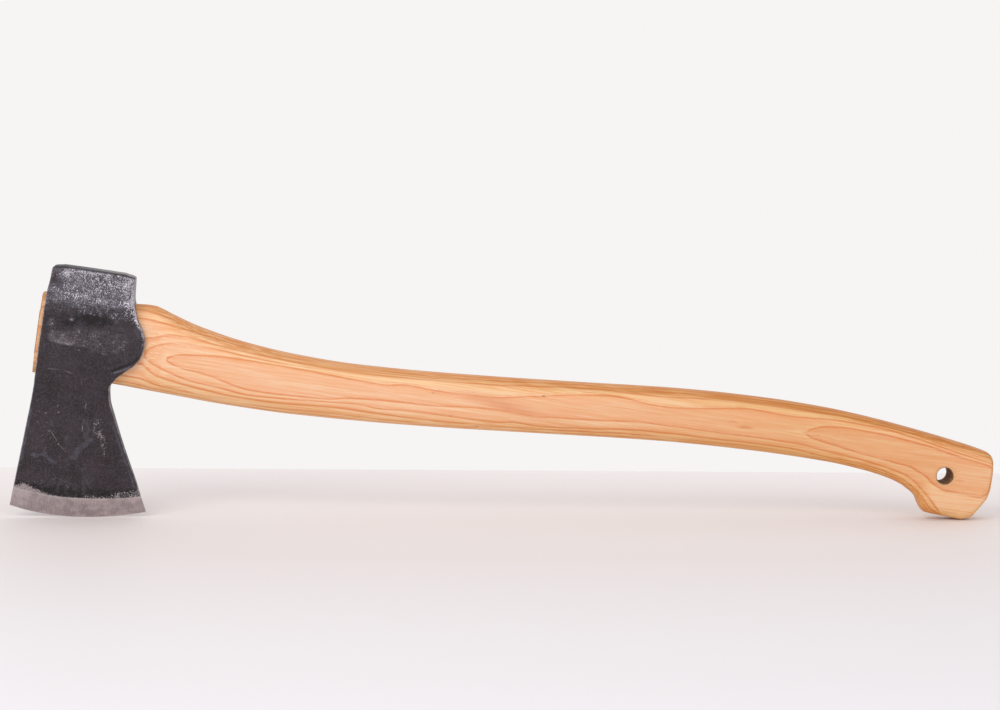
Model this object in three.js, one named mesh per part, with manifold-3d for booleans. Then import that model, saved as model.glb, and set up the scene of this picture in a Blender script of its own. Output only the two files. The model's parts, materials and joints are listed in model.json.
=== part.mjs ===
// Felling axe: a forged one-piece head on a curved hickory haft, hung with a wooden wedge and a
// steel wedge, standing on its cutting edge and on the heel of its knob.
// Everything is drawn in the eye's own frame (mm): X along the eye towards the knob, Y across the
// thickness, Z from the cutting edge up to the poll. The stance group then sets the axe on the floor.
import * as THREE from 'three';
import { mergeVertices } from 'three/addons/utils/BufferGeometryUtils.js';
import Module from 'manifold-3d';

const wasm = await Module();
wasm.setup();

const GAP = 0.3; // clearance kept between pieces that touch in the real axe

// ---------------------------------------------------------------- driving dimensions of the head
const TOE = [-38.5, -115.2];       // front corner of the cutting edge (x, z)
const HEEL = [48.7, -107.9];       // rear corner of the cutting edge
const EDGE_SAG = 5.5;              // how far the edge's arc drops below the toe-heel chord
const EDGE_SKEW = 0.12;            // the arc's belly lies a little towards the toe
const EDGE_HALF = 0.12;            // half of the honed edge's width
const BEVEL = 12;                  // height of the ground bevel
const BEVEL_HALF = 2.3;            // half thickness where the bevel starts
const THROAT_Z = -32;              // level of the narrow waist under the eye
const POLL_Z = 43.5;               // level of the poll's striking face
const ARRIS = 1;                   // chamfer along the head's long arrises
const POLL_ROUND = 1.5;            // rounding along the poll's two long edges
const POLL_END_ROUND = 3.6;        // rounding at the poll's front and rear ends
const POLL_CROWN = 0.8;            // how far the poll's ends fall away from its flat middle
const CROWN_REACH = 3;             // length of the slope from the flat to each end's rounding
const CROWN_Z = 36;                // level where the rows start to follow the crown
const CROWN_STEP = 0.3;            // the flat middle starts this far inside the edge rounding
const THIN_BLADE = 0.2;            // how much thinner the blade is at its outline than in its middle
const THIN_EYE = 0.08;             // and the same round the eye

// Outline of the head as x against z: front side, and rear side with the lug over the haft.
const FRONT = [[-115.2, -38.5], [-96, -37.2], [-64, -34.9], [-32, -33], [0, -32.9],
  [24, -32.5], [35, -31.4], [43.5, -31]];
const REAR = [[-107.9, 48.7], [-100, 44.9], [-89, 39.8], [-67, 28.7], [-49, 20.4], [-38.5, 16.1],
  [-30.5, 14.9], [-24.6, 17.6], [-18.5, 23.2], [-12.4, 29.5], [-6.7, 32.5], [-0.8, 33.5],
  [3.9, 33.3], [8.8, 31.5], [16, 27.1], [23, 24.4], [29, 22.8], [37, 22.2], [43.5, 21.7]];
// Half thickness of the head at mid width against z, with pinched cheeks beside the eye.
const CHEEK = [[-107, 2.1], [-92, 3.3], [-76, 4.8], [-60, 6.6], [-44, 8.7], [-32, 10.9],
  [-22, 12.7], [-11, 13.6], [1.6, 13.1], [13, 13.7], [22.5, 13.8], [34, 12.5], [43.5, 11.8]];

// ------------------------------------------------------------------------------ the eye and haft
const EYE_MID_Z = -1.3;            // centre of the eye's height
const EYE_HALF_Z = 26.8;           // half the eye's height
const EYE_POWER = 2.5;             // squareness of the eye's oval
const EYE_REACH = 48;              // how far the eye is cut to either side of its middle
const EYE_HALF_Y = [[-EYE_REACH, 9.6], [-33, 9.4], [0, 8.8], [34, 9.1], [EYE_REACH, 9.2]];
const TIP_X = -35.6;               // end of the haft's tongue, just proud of the head's front
// The tongue's rounded end: top and bottom of its cut face, and where its full section starts.
const TIP_FACE = { top: 23, bottom: -27, thinner: 0.6 };
const TIP_FULL = { top: 25.1, topX: TIP_X + 1.8, bottom: -27.7, bottomX: TIP_X + 0.7 };

// The haft's top and bottom line, as [x, z], then its half thickness and squareness along x.
const TOP = [[-33.7, 25.3], [22.5, 25.3], [32.9, 25.9], [36.9, 25.8], [41, 24.7], [49, 21.9],
  [66.6, 16.6], [98.8, 10.5], [130.1, 7.5], [161.4, 6.5], [192.7, 7.3], [255.4, 10.9],
  [318, 15.6], [381.4, 20.5], [413.5, 21.9], [445.7, 22.4], [478.6, 21.6], [502.7, 19.9],
  [527.6, 17.2], [577.4, 10.1], [588.4, 7.9]];
const BOTTOM = [[-33.7, -27.9], [16.1, -28], [36.9, -28.9], [52.2, -29.6], [88.3, -31.2],
  [119.6, -31.6], [151, -30.8], [182.3, -29.5], [229.7, -26.6], [292.3, -21.7], [355.7, -16.7],
  [387, -14.8], [419.2, -13.7], [451.3, -13.2], [484.2, -13.7], [509.1, -15.7], [527.6, -18.8],
  [536.4, -21.6], [541.2, -24], [547.4, -28], [552.9, -36], [555.5, -37.8], [566.9, -38.6],
  [579.9, -39.5]];
const HALF_Y = [[-37, 9.1], [-33, 9.1], [0, 8.5], [33, 8.8], [38.5, 9.6], [50, 11], [72, 11.4],
  [128, 11], [241, 10.4], [385, 10.2], [482, 10.3], [546, 10.7], [590, 10.6]];
const POWER = [[-37, 2.5], [35, 2.5], [72, 2.4], [160, 2.5], [450, 2.6], [514, 3.2], [562, 4.2],
  [590, 4.4]];
// The knob's end is cut slanting, so its last sections are given by a top and a bottom point each:
// [top x, top z, bottom x, bottom z, share of the full thickness].
const KNOB_END = [[591.1, 7.1, 586, -36.9, 1], [593.4, 5.3, 589.6, -31.8, 1],
  [594.4, 3.3, 592.7, -26.9, 0.99], [594.6, 0.6, 594.6, -22.5, 0.95],
  [595.3, -1.9, 595.5, -19.8, 0.84]];

const HOLE = { x: 563.4, z: -11.5, r: 5.5, mouthR: 6.6, chamfer: 1.1 };

// ------------------------------------------------------------------------------------ the wedges
const KERF_DEPTH = 35;             // how far the saw kerf runs down the tongue
const WEDGE_TIP_HALF = 2;          // half thickness of the wooden wedge at the tongue's end
const WEDGE_TOE_HALF = 0.5;        // and at the bottom of the kerf
const WEDGE_CLEAR = 2.5;           // empty kerf left beyond the wedge's toe
const STEEL = { depth: 19, height: 28, crown: 1.4, toe: 0.3, leg: 5, notch: 10, splay: 1.2 };
const STEEL_PROUD = 0.4;           // how far the steel wedge stands out of the tongue's end
const WOOD_PROUD = 0.2;            // and the wooden one
const WOOD_TOP = 25.1;             // the wooden wedge fills the eye between these levels
const WOOD_BOTTOM = -27.6;

// -------------------------------------------------------------------------- how finely it is cut
const HEAD_STEPS = 14;             // across the head's side
const BLADE_ROWS = 9;
const EYE_ROWS = 24;
const OVAL_STEPS = 14;             // down each side of the haft
const EYE_STEPS = 16;
const HOLE_STEPS = 28;
const TONGUE_STATIONS = [-33, -16, 0, 16, 27, 33, 37, 41, 45, 50, 58, 68];
const GRIP_STATIONS = { from: 80, to: 530, count: 20 };
const KNOB_STATIONS = [535, 539, 542.5, 546, 549, 552, 555, 562, 571, 579.9];
const OUT = 6;                     // a cutter starts this far outside the piece that it cuts
const PAST = 60;                   // and reaches past it by this much above and below

// --------------------------------------------------------------------------------------- helpers

// Monotone cubic through [s, value] knots: follows the knots without overshooting them.
function curve(knots) {
  const n = knots.length;
  const slope = [];
  for (let i = 0; i < n - 1; i += 1) {
    slope.push((knots[i + 1][1] - knots[i][1]) / (knots[i + 1][0] - knots[i][0]));
  }
  const tangent = [slope[0]];
  for (let i = 1; i < n - 1; i += 1) {
    const same = slope[i - 1] * slope[i] > 0;
    tangent.push(same ? 2 * slope[i - 1] * slope[i] / (slope[i - 1] + slope[i]) : 0);
  }
  tangent.push(slope[n - 2]);
  return (s) => {
    const t = THREE.MathUtils.clamp(s, knots[0][0], knots[n - 1][0]);
    let i = 0;
    while (i < n - 2 && t > knots[i + 1][0]) {
      i += 1;
    }
    const h = knots[i + 1][0] - knots[i][0];
    const k = (t - knots[i][0]) / h;
    const a = (1 + 2 * k) * (1 - k) * (1 - k);
    const b = k * (1 - k) * (1 - k);
    const c = k * k * (3 - 2 * k);
    const d = k * k * (k - 1);
    return a * knots[i][1] + b * h * tangent[i] + c * knots[i + 1][1] + d * h * tangent[i + 1];
  };
}

function spread(from, to, count) {
  return Array.from({ length: count + 1 }, (_, i) => from + (to - from) * i / count);
}

// Closed body through rings of equal length; cap lists the triangles of one end for a ring's size.
function loft(rings, cap) {
  const size = rings[0].length;
  const index = [];
  for (let r = 0; r < rings.length - 1; r += 1) {
    for (let i = 0; i < size; i += 1) {
      const a = r * size + i;
      const b = r * size + (i + 1) % size;
      index.push(a, b, b + size, a, b + size, a + size);
    }
  }
  const last = (rings.length - 1) * size;
  cap(size).forEach(([a, b, c]) => index.push(a, c, b, last + a, last + b, last + c));
  const position = rings.flat().flatMap((p) => [p.x, p.y, p.z]);
  const geometry = new THREE.BufferGeometry();
  geometry.setAttribute('position', new THREE.Float32BufferAttribute(position, 3));
  geometry.setIndex(index);
  return geometry;
}

// End of a ring that is a near side followed by its mirrored far side: strips straight across.
function stripCap(size) {
  const steps = Array.from({ length: size / 2 - 1 }, (_, i) => i);
  return steps.flatMap((i) => [[i, i + 1, size - 2 - i], [i, size - 2 - i, size - 1 - i]]);
}

// End of an oval ring, whose sides meet in one point at the top and one at the bottom: a fan.
function fanCap(size) {
  return Array.from({ length: size - 2 }, (_, i) => [0, i + 1, i + 2]);
}

function toManifold(geometry) {
  const bare = geometry.clone();
  bare.deleteAttribute('normal');
  bare.deleteAttribute('uv');
  const merged = mergeVertices(bare, 1e-5);
  const mesh = new wasm.Mesh({
    numProp: 3,
    vertProperties: new Float32Array(merged.attributes.position.array),
    triVerts: new Uint32Array(merged.index.array),
  });
  const body = new wasm.Manifold(mesh);
  return body.volume() < 0 ? toManifold(flipped(geometry)) : body;
}

function flipped(geometry) {
  const turned = geometry.clone();
  const index = turned.index.array;
  for (let i = 0; i < index.length; i += 3) {
    [index[i], index[i + 1]] = [index[i + 1], index[i]];
  }
  return turned;
}

function fromManifold(body) {
  const mesh = body.getMesh();
  const geometry = new THREE.BufferGeometry();
  geometry.setAttribute('position', new THREE.Float32BufferAttribute(mesh.vertProperties, 3));
  geometry.setIndex(new THREE.Uint32BufferAttribute(mesh.triVerts, 1));
  geometry.computeVertexNormals();
  return geometry;
}

// ------------------------------------------------------------------------------------- the head

const frontX = curve(FRONT);
const rearX = curve(REAR);
const cheekHalf = curve(CHEEK);

// How a row bends: k is 1 at the cutting edge and 0 from the throat up.
function rowAt(level) {
  const k = THREE.MathUtils.clamp((level - THROAT_Z) / (TOE[1] - THROAT_Z), 0, 1);
  const bend = k * Math.sqrt(k);
  const rear = level + (HEEL[1] - TOE[1]) * bend;
  return { frontZ: level, rearZ: rear, sag: EDGE_SAG * bend };
}

function headRing(level, half, inset, crown) {
  const { frontZ, rearZ, sag } = rowAt(level);
  const front = frontX(frontZ) + inset;
  const rear = rearX(rearZ) - inset;
  const chamfer = Math.min(ARRIS, half * 0.45);
  const reach = chamfer / (rear - front);
  const thin = level < THROAT_Z ? THIN_BLADE : THIN_EYE;
  const stations = [0, reach, ...spread(0, 1, HEAD_STEPS).slice(1, -1), 1 - reach, 1];
  const side = (sign) => stations.map((u) => {
    const end = u === 0 || u === 1;
    const bow = 1 - 2 * u;
    const full = half * (1 - thin * bow * bow);
    const y = end ? full - chamfer : full;
    const belly = 4 * u * (1 - u) * (1 + EDGE_SKEW * bow);
    const z = frontZ + (rearZ - frontZ) * u - sag * belly - crown * bow ** 6;
    return new THREE.Vector3(front + (rear - front) * u, sign * y, z);
  });
  return [...side(-1), ...side(1).reverse()];
}

function headBlank() {
  const bevelLevel = TOE[1] + BEVEL;
  const rings = [headRing(TOE[1], EDGE_HALF, 0, 0), headRing(bevelLevel, BEVEL_HALF, 0, 0)];
  const levels = [...spread(bevelLevel, THROAT_Z, BLADE_ROWS).slice(1),
    ...spread(THROAT_Z, POLL_Z - POLL_ROUND, EYE_ROWS).slice(1)];
  levels.forEach((level) => {
    const crown = POLL_CROWN * THREE.MathUtils.smoothstep(level, CROWN_Z, POLL_Z);
    rings.push(headRing(level, cheekHalf(level), 0, crown));
  });
  [Math.PI / 6, Math.PI / 3, Math.PI / 2].forEach((angle) => {
    const level = POLL_Z - POLL_ROUND * (1 - Math.sin(angle));
    const drawn = 1 - Math.cos(angle);
    const half = cheekHalf(POLL_Z) - POLL_ROUND * drawn;
    rings.push(headRing(level, half, POLL_END_ROUND * drawn, POLL_CROWN));
  });
  rings.push(headRing(POLL_Z, cheekHalf(POLL_Z) - POLL_ROUND - CROWN_STEP,
    POLL_END_ROUND + CROWN_REACH, 0));
  return loft(rings, stripCap);
}

// Oval ring across the eye's axis; the top and bottom points may differ in x.
function ovalRing(top, bottom, half, power, count) {
  const side = (sign) => spread(0, 1, count).map((t) => {
    const angle = Math.PI * t;
    const rise = Math.cos(angle);
    const out = Math.sin(angle);
    const up = Math.sign(rise) * Math.abs(rise) ** (2 / power);
    const y = sign * half * Math.abs(out) ** (2 / power);
    const mix = (1 - up) / 2;
    return new THREE.Vector3(top.x + (bottom.x - top.x) * mix, y, top.z + (bottom.z - top.z) * mix);
  });
  return [...side(-1), ...side(1).slice(1, -1).reverse()];
}

function eyeCutter() {
  const half = curve(EYE_HALF_Y);
  const top = EYE_MID_Z + EYE_HALF_Z;
  const bottom = EYE_MID_Z - EYE_HALF_Z;
  const rings = spread(-EYE_REACH, EYE_REACH, 10).map((x) => ovalRing({ x, z: top },
    { x, z: bottom }, half(x), EYE_POWER, EYE_STEPS));
  return loft(rings, fanCap);
}

function axeHead() {
  return fromManifold(toManifold(headBlank()).subtract(toManifold(eyeCutter())));
}

// ------------------------------------------------------------------------------------- the haft

function haftBlank() {
  const top = curve(TOP);
  const bottom = curve(BOTTOM);
  const half = curve(HALF_Y);
  const power = curve(POWER);
  const oval = (upper, lower, halfY, x) => ovalRing(upper, lower, halfY, power(x), OVAL_STEPS);
  const section = (x) => oval({ x, z: top(x) }, { x, z: bottom(x) }, half(x), x);
  const face = oval({ x: TIP_X, z: TIP_FACE.top }, { x: TIP_X, z: TIP_FACE.bottom },
    half(TIP_X) - TIP_FACE.thinner, TIP_X);
  const full = oval({ x: TIP_FULL.topX, z: TIP_FULL.top }, { x: TIP_FULL.bottomX, z: TIP_FULL.bottom },
    half(TIP_X), TIP_X);
  const grip = spread(GRIP_STATIONS.from, GRIP_STATIONS.to, GRIP_STATIONS.count);
  const rings = [face, full, ...[...TONGUE_STATIONS, ...grip, ...KNOB_STATIONS].map(section)];
  KNOB_END.forEach(([topX, topZ, bottomX, bottomZ, share]) => {
    rings.push(oval({ x: topX, z: topZ }, { x: bottomX, z: bottomZ }, half(topX) * share, topX));
  });
  return loft(rings, fanCap);
}

// The hanging hole, drilled square through the knob with a countersunk mouth on both faces.
function holeCutter() {
  const face = curve(HALF_Y)(HOLE.x);
  const inner = face - HOLE.chamfer;
  const outer = face + OUT;
  const flare = HOLE.mouthR + OUT * (HOLE.mouthR - HOLE.r) / HOLE.chamfer;
  const outline = [[0, -outer], [flare, -outer], [HOLE.r, -inner], [HOLE.r, inner], [flare, outer],
    [0, outer]];
  const points = outline.map(([r, y]) => new THREE.Vector2(r, y));
  const geometry = new THREE.LatheGeometry(points, HOLE_STEPS);
  return geometry.translate(HOLE.x, 0, HOLE.z);
}

// A taper that narrows along +X: a symmetric trapezium in plan, extruded over the given height.
function taper(x0, x1, half0, half1, z0, z1) {
  const shape = new THREE.Shape();
  shape.moveTo(x0, -half0);
  shape.lineTo(x1, -half1);
  shape.lineTo(x1, half1);
  shape.lineTo(x0, half0);
  shape.closePath();
  const geometry = new THREE.ExtrudeGeometry(shape, { depth: z1 - z0, bevelEnabled: false });
  return geometry.translate(0, 0, z0);
}

const KERF_END = TIP_X + KERF_DEPTH;

function wedgeHalfAt(x) {
  const k = (x - TIP_X) / (KERF_END - WEDGE_CLEAR - TIP_X);
  return WEDGE_TIP_HALF + (WEDGE_TOE_HALF - WEDGE_TIP_HALF) * k;
}

function kerfCutter() {
  const start = TIP_X - OUT;
  return taper(start, KERF_END, wedgeHalfAt(start) + GAP, wedgeHalfAt(KERF_END) + GAP, -PAST, PAST);
}

function haft() {
  const drilled = toManifold(haftBlank()).subtract(toManifold(holeCutter()));
  return fromManifold(drilled.subtract(toManifold(kerfCutter())));
}

// ----------------------------------------------------------------------------------- the wedges

// Side view of the steel wedge, a crown with three short legs, drawn in X (down the kerf) and Z and
// set in a slim taper. Grown by the clearance, and started outside the tongue, it is its own cutter.
function steelWedge(grow) {
  const { depth, height, crown, toe, leg, notch, splay } = STEEL;
  const face = TIP_X - STEEL_PROUD;
  const start = grow > 0 ? face - OUT : face;
  const half = height / 2 + grow;
  const base = face + depth + grow;
  const root = base - notch;
  const inner = half - leg - 2 * grow;
  const middle = leg / 2 + grow;
  const outline = [[start, -half], [base, -half], [base, -inner], [root, splay - inner],
    [root, -middle - splay], [base, -middle], [base, middle], [root, middle + splay],
    [root, inner - splay], [base, inner], [base, half], [start, half]];
  const shape = new THREE.Shape(outline.map(([x, z]) => new THREE.Vector2(x, z)));
  const plate = new THREE.ExtrudeGeometry(shape, { depth: 2 * PAST, bevelEnabled: false });
  plate.rotateX(Math.PI / 2);
  plate.translate(0, PAST, EYE_MID_Z);
  const slope = (crown - toe) / depth;
  const wide = crown + grow + slope * (face - start);
  const slim = taper(start, base, wide, toe + grow, -PAST, PAST);
  return toManifold(plate).intersect(toManifold(slim));
}

function woodenWedge() {
  const face = TIP_X - WOOD_PROUD;
  const toe = KERF_END - WEDGE_CLEAR;
  const half = curve(HALF_Y);
  const blank = toManifold(taper(face, toe, wedgeHalfAt(face), wedgeHalfAt(toe), -PAST, PAST));
  const rings = spread(TIP_X - OUT, KERF_END, 4).map((x) => ovalRing({ x, z: WOOD_TOP },
    { x, z: WOOD_BOTTOM }, half(x), EYE_POWER, OVAL_STEPS));
  return blank.intersect(toManifold(loft(rings, fanCap)));
}

// -------------------------------------------------------------------------------------- the axe

const STEEL_FORGED = new THREE.MeshStandardMaterial({ color: 0x3b3d42, roughness: 0.55, metalness: 0.7 });
const HICKORY = new THREE.MeshStandardMaterial({ color: 0xd9a070, roughness: 0.5, metalness: 0 });
const WEDGE_WOOD = new THREE.MeshStandardMaterial({ color: 0xb9855a, roughness: 0.7, metalness: 0 });
const WEDGE_STEEL = new THREE.MeshStandardMaterial({ color: 0x8d9094, roughness: 0.4, metalness: 0.9 });

function piece(name, geometry, material) {
  const mesh = new THREE.Mesh(geometry, material);
  mesh.name = name;
  return mesh;
}

// Level of a piece's lowest point once it is turned by an angle about Y.
function lowest(geometry, angle) {
  const turned = geometry.clone().rotateY(angle);
  turned.computeBoundingBox();
  return turned.boundingBox.min.z;
}

// The axe leans until the cutting edge and the knob's heel stand on the same level.
function stanceAngle(head, handle) {
  let low = 0;
  let high = Math.PI / 12;
  for (let i = 0; i < 40; i += 1) {
    const mid = (low + high) / 2;
    if (lowest(handle, mid) > lowest(head, mid)) {
      low = mid;
    } else {
      high = mid;
    }
  }
  return (low + high) / 2;
}

const head = axeHead();
const handle = haft();
const steel = steelWedge(0);
const wood = woodenWedge().subtract(steelWedge(GAP));

const stance = new THREE.Group();
stance.name = 'stance';
stance.add(piece('axe_head', head, STEEL_FORGED));
stance.add(piece('haft', handle, HICKORY));
stance.add(piece('wooden_wedge', fromManifold(wood), WEDGE_WOOD));
stance.add(piece('steel_wedge', fromManifold(steel), WEDGE_STEEL));
stance.rotation.y = stanceAngle(head, handle);

const bounds = new THREE.Box3().setFromObject(stance, true);
stance.position.set(-(bounds.min.x + bounds.max.x) / 2, -(bounds.min.y + bounds.max.y) / 2,
  -bounds.min.z);

const axe = new THREE.Group();
axe.name = 'felling_axe';
axe.add(stance);

export default axe;
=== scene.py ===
# Felling axe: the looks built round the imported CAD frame. Lengths inside the modelling code are
# millimetres in the eye's own frame (x along the eye towards the knob, y across the thickness,
# z from the cutting edge up to the poll); meshes are turned into the part frame, in metres, at the end.
import json
import math
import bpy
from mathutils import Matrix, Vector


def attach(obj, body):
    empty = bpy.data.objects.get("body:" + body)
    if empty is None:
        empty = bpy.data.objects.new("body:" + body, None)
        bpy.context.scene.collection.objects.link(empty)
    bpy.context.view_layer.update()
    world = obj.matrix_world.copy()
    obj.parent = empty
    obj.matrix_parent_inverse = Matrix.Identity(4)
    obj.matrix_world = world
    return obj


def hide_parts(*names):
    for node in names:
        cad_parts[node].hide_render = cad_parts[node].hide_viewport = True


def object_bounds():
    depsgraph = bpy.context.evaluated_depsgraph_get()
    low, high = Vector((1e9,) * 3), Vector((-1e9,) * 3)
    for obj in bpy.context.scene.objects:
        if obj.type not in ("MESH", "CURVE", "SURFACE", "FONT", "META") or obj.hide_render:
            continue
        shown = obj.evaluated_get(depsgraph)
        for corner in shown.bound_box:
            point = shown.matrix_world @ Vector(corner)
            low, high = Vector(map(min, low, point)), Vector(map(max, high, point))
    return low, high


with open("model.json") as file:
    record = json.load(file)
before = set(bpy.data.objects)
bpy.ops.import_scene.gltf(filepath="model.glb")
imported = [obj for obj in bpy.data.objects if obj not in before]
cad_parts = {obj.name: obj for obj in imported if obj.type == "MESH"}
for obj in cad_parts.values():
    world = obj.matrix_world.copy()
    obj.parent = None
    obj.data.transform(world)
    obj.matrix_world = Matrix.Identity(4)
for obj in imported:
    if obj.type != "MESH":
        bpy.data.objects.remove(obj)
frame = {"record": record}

from types import SimpleNamespace

import bpy
import numpy as np
from mathutils import Matrix, Vector, noise

CAD_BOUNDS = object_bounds()
MM = 0.001

# ------------------------------------------------------------------- the eye's frame in the part
POLL_MID = (-5.0, 0.0, 43.5)      # the poll_face mount's point in the eye's frame

# ------------------------------------------------------------------------------- the forged head
TOE = (-38.5, -115.2)
HEEL = (48.7, -107.9)
EDGE_SAG = 5.5
EDGE_SKEW = 0.12
EDGE_HALF = 0.12
BEVEL = 12.0
BEVEL_HALF = 2.3
THROAT_Z = -32.0
POLL_Z = 43.5
ARRIS = 1.1
POLL_ROUND = 1.5
POLL_END_ROUND = 3.6
POLL_CROWN = 0.8
CROWN_Z = 36.0
CROWN_REACH = 3.0
FRONT = [(-115.2, -38.5), (-96, -37.2), (-64, -34.9), (-32, -33), (0, -32.9),
         (24, -32.5), (35, -31.4), (43.5, -31)]
REAR = [(-107.9, 48.7), (-100, 44.9), (-89, 39.8), (-67, 28.7), (-49, 20.4), (-38.5, 16.1),
        (-30.5, 14.9), (-24.6, 17.6), (-18.5, 23.2), (-12.4, 29.5), (-6.7, 32.5), (-0.8, 33.5),
        (3.9, 33.3), (8.8, 31.5), (16, 27.1), (23, 24.4), (29, 22.8), (37, 22.2), (43.5, 21.7)]
CHEEK = [(-107, 2.1), (-92, 3.3), (-76, 4.8), (-60, 6.6), (-44, 8.7), (-32, 10.9),
         (-22, 12.7), (-11, 13.6), (1.6, 13.1), (13, 13.7), (22.5, 13.8), (34, 12.5), (43.5, 11.8)]

# ------------------------------------------------------------------------------ the eye and haft
EYE_MID_Z = -1.3
EYE_HALF_Z = 26.8
EYE_POWER = 2.5
EYE_REACH = 48.0
EYE_HALF_Y = [(-EYE_REACH, 9.6), (-33, 9.4), (0, 8.8), (34, 9.1), (EYE_REACH, 9.2)]
TIP_X = -35.6
TIP_DOME = 0.4
TIP_THINNER = 0.6                 # how much less than the full half thickness the cut face has
# The tongue's rounded end: top and bottom of its cut face, and (x beyond it, z) of the full section.
TIP_TOP = 23.0
TIP_BOTTOM = -27.0
TIP_FULL_TOP = (1.8, 25.1)
TIP_FULL_BOTTOM = (0.7, -27.7)
TOP = [(-33.7, 25.3), (22.5, 25.3), (32.9, 25.9), (36.9, 25.8), (41, 24.7), (49, 21.9),
       (66.6, 16.6), (98.8, 10.5), (130.1, 7.5), (161.4, 6.5), (192.7, 7.3), (255.4, 10.9),
       (318, 15.6), (381.4, 20.5), (413.5, 21.9), (445.7, 22.4), (478.6, 21.6), (502.7, 19.9),
       (527.6, 17.2), (577.4, 10.1), (588.4, 7.9)]
BOTTOM = [(-33.7, -27.9), (16.1, -28), (36.9, -28.9), (52.2, -29.6), (88.3, -31.2),
          (119.6, -31.6), (151, -30.8), (182.3, -29.5), (229.7, -26.6), (292.3, -21.7),
          (355.7, -16.7), (387, -14.8), (419.2, -13.7), (451.3, -13.2), (484.2, -13.7),
          (509.1, -15.7), (527.6, -18.8), (536.4, -21.6), (541.2, -24), (547.4, -28),
          (552.9, -36), (555.5, -37.8), (566.9, -38.6), (579.9, -39.5)]
HALF_Y = [(-37, 9.1), (-33, 9.1), (0, 8.5), (33, 8.8), (38.5, 9.6), (50, 11), (72, 11.4),
          (128, 11), (241, 10.4), (385, 10.2), (482, 10.3), (546, 10.7), (590, 10.6)]
POWER = [(-37, 2.5), (35, 2.5), (72, 2.4), (160, 2.5), (450, 2.6), (514, 3.2), (562, 4.2),
         (590, 4.4)]
# The knob's end: top x, top z, bottom x, bottom z, share of the full thickness.
KNOB_END = [(579.9, 9.7, 579.9, -39.5, 1.0), (591.1, 7.1, 586.0, -36.9, 1.0),
            (593.4, 5.3, 589.6, -31.8, 0.995), (594.4, 3.3, 592.7, -26.9, 0.97),
            (594.8, 1.4, 594.5, -23.3, 0.90), (595.3, -1.9, 595.5, -19.8, 0.80)]
HOLE_X = 563.4
HOLE_Z = -11.5
HOLE_R = 5.5
HOLE_MOUTH_R = 6.6
HOLE_CHAMFER = 1.1
FIT = 0.3                         # clearance to the neighbouring piece, as in the CAD

# ------------------------------------------------------------------------------------ the wedges
KERF_DEPTH = 35.0                 # how far the saw kerf runs down the tongue
WEDGE_CLEAR = 2.5                 # empty kerf beyond the wooden wedge's toe
WEDGE_TIP_HALF = 2.0
WEDGE_TOE_HALF = 0.5
WOOD_PROUD = 0.2                  # how far each wedge stands out of the tongue's end
STEEL_PROUD = 0.4
WOOD_TOP = 25.1
WOOD_BOTTOM = -27.6
STEEL_DEPTH = 19.0
STEEL_HEIGHT = 28.0
STEEL_CROWN = 1.4
STEEL_TOE = 0.3
STEEL_LEG = 5.0
STEEL_NOTCH = 10.0
STEEL_SPLAY = 1.2
OUT = 6.0                         # a cutter starts this far outside the piece that it cuts

# ----------------------------------------------------------------------------- the growth rings
RING = 2.2                        # width of one growth ring, through the thickness
RING_FALL = 0.03                  # rings lost per millimetre beyond the outermost drawn ring line
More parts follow.
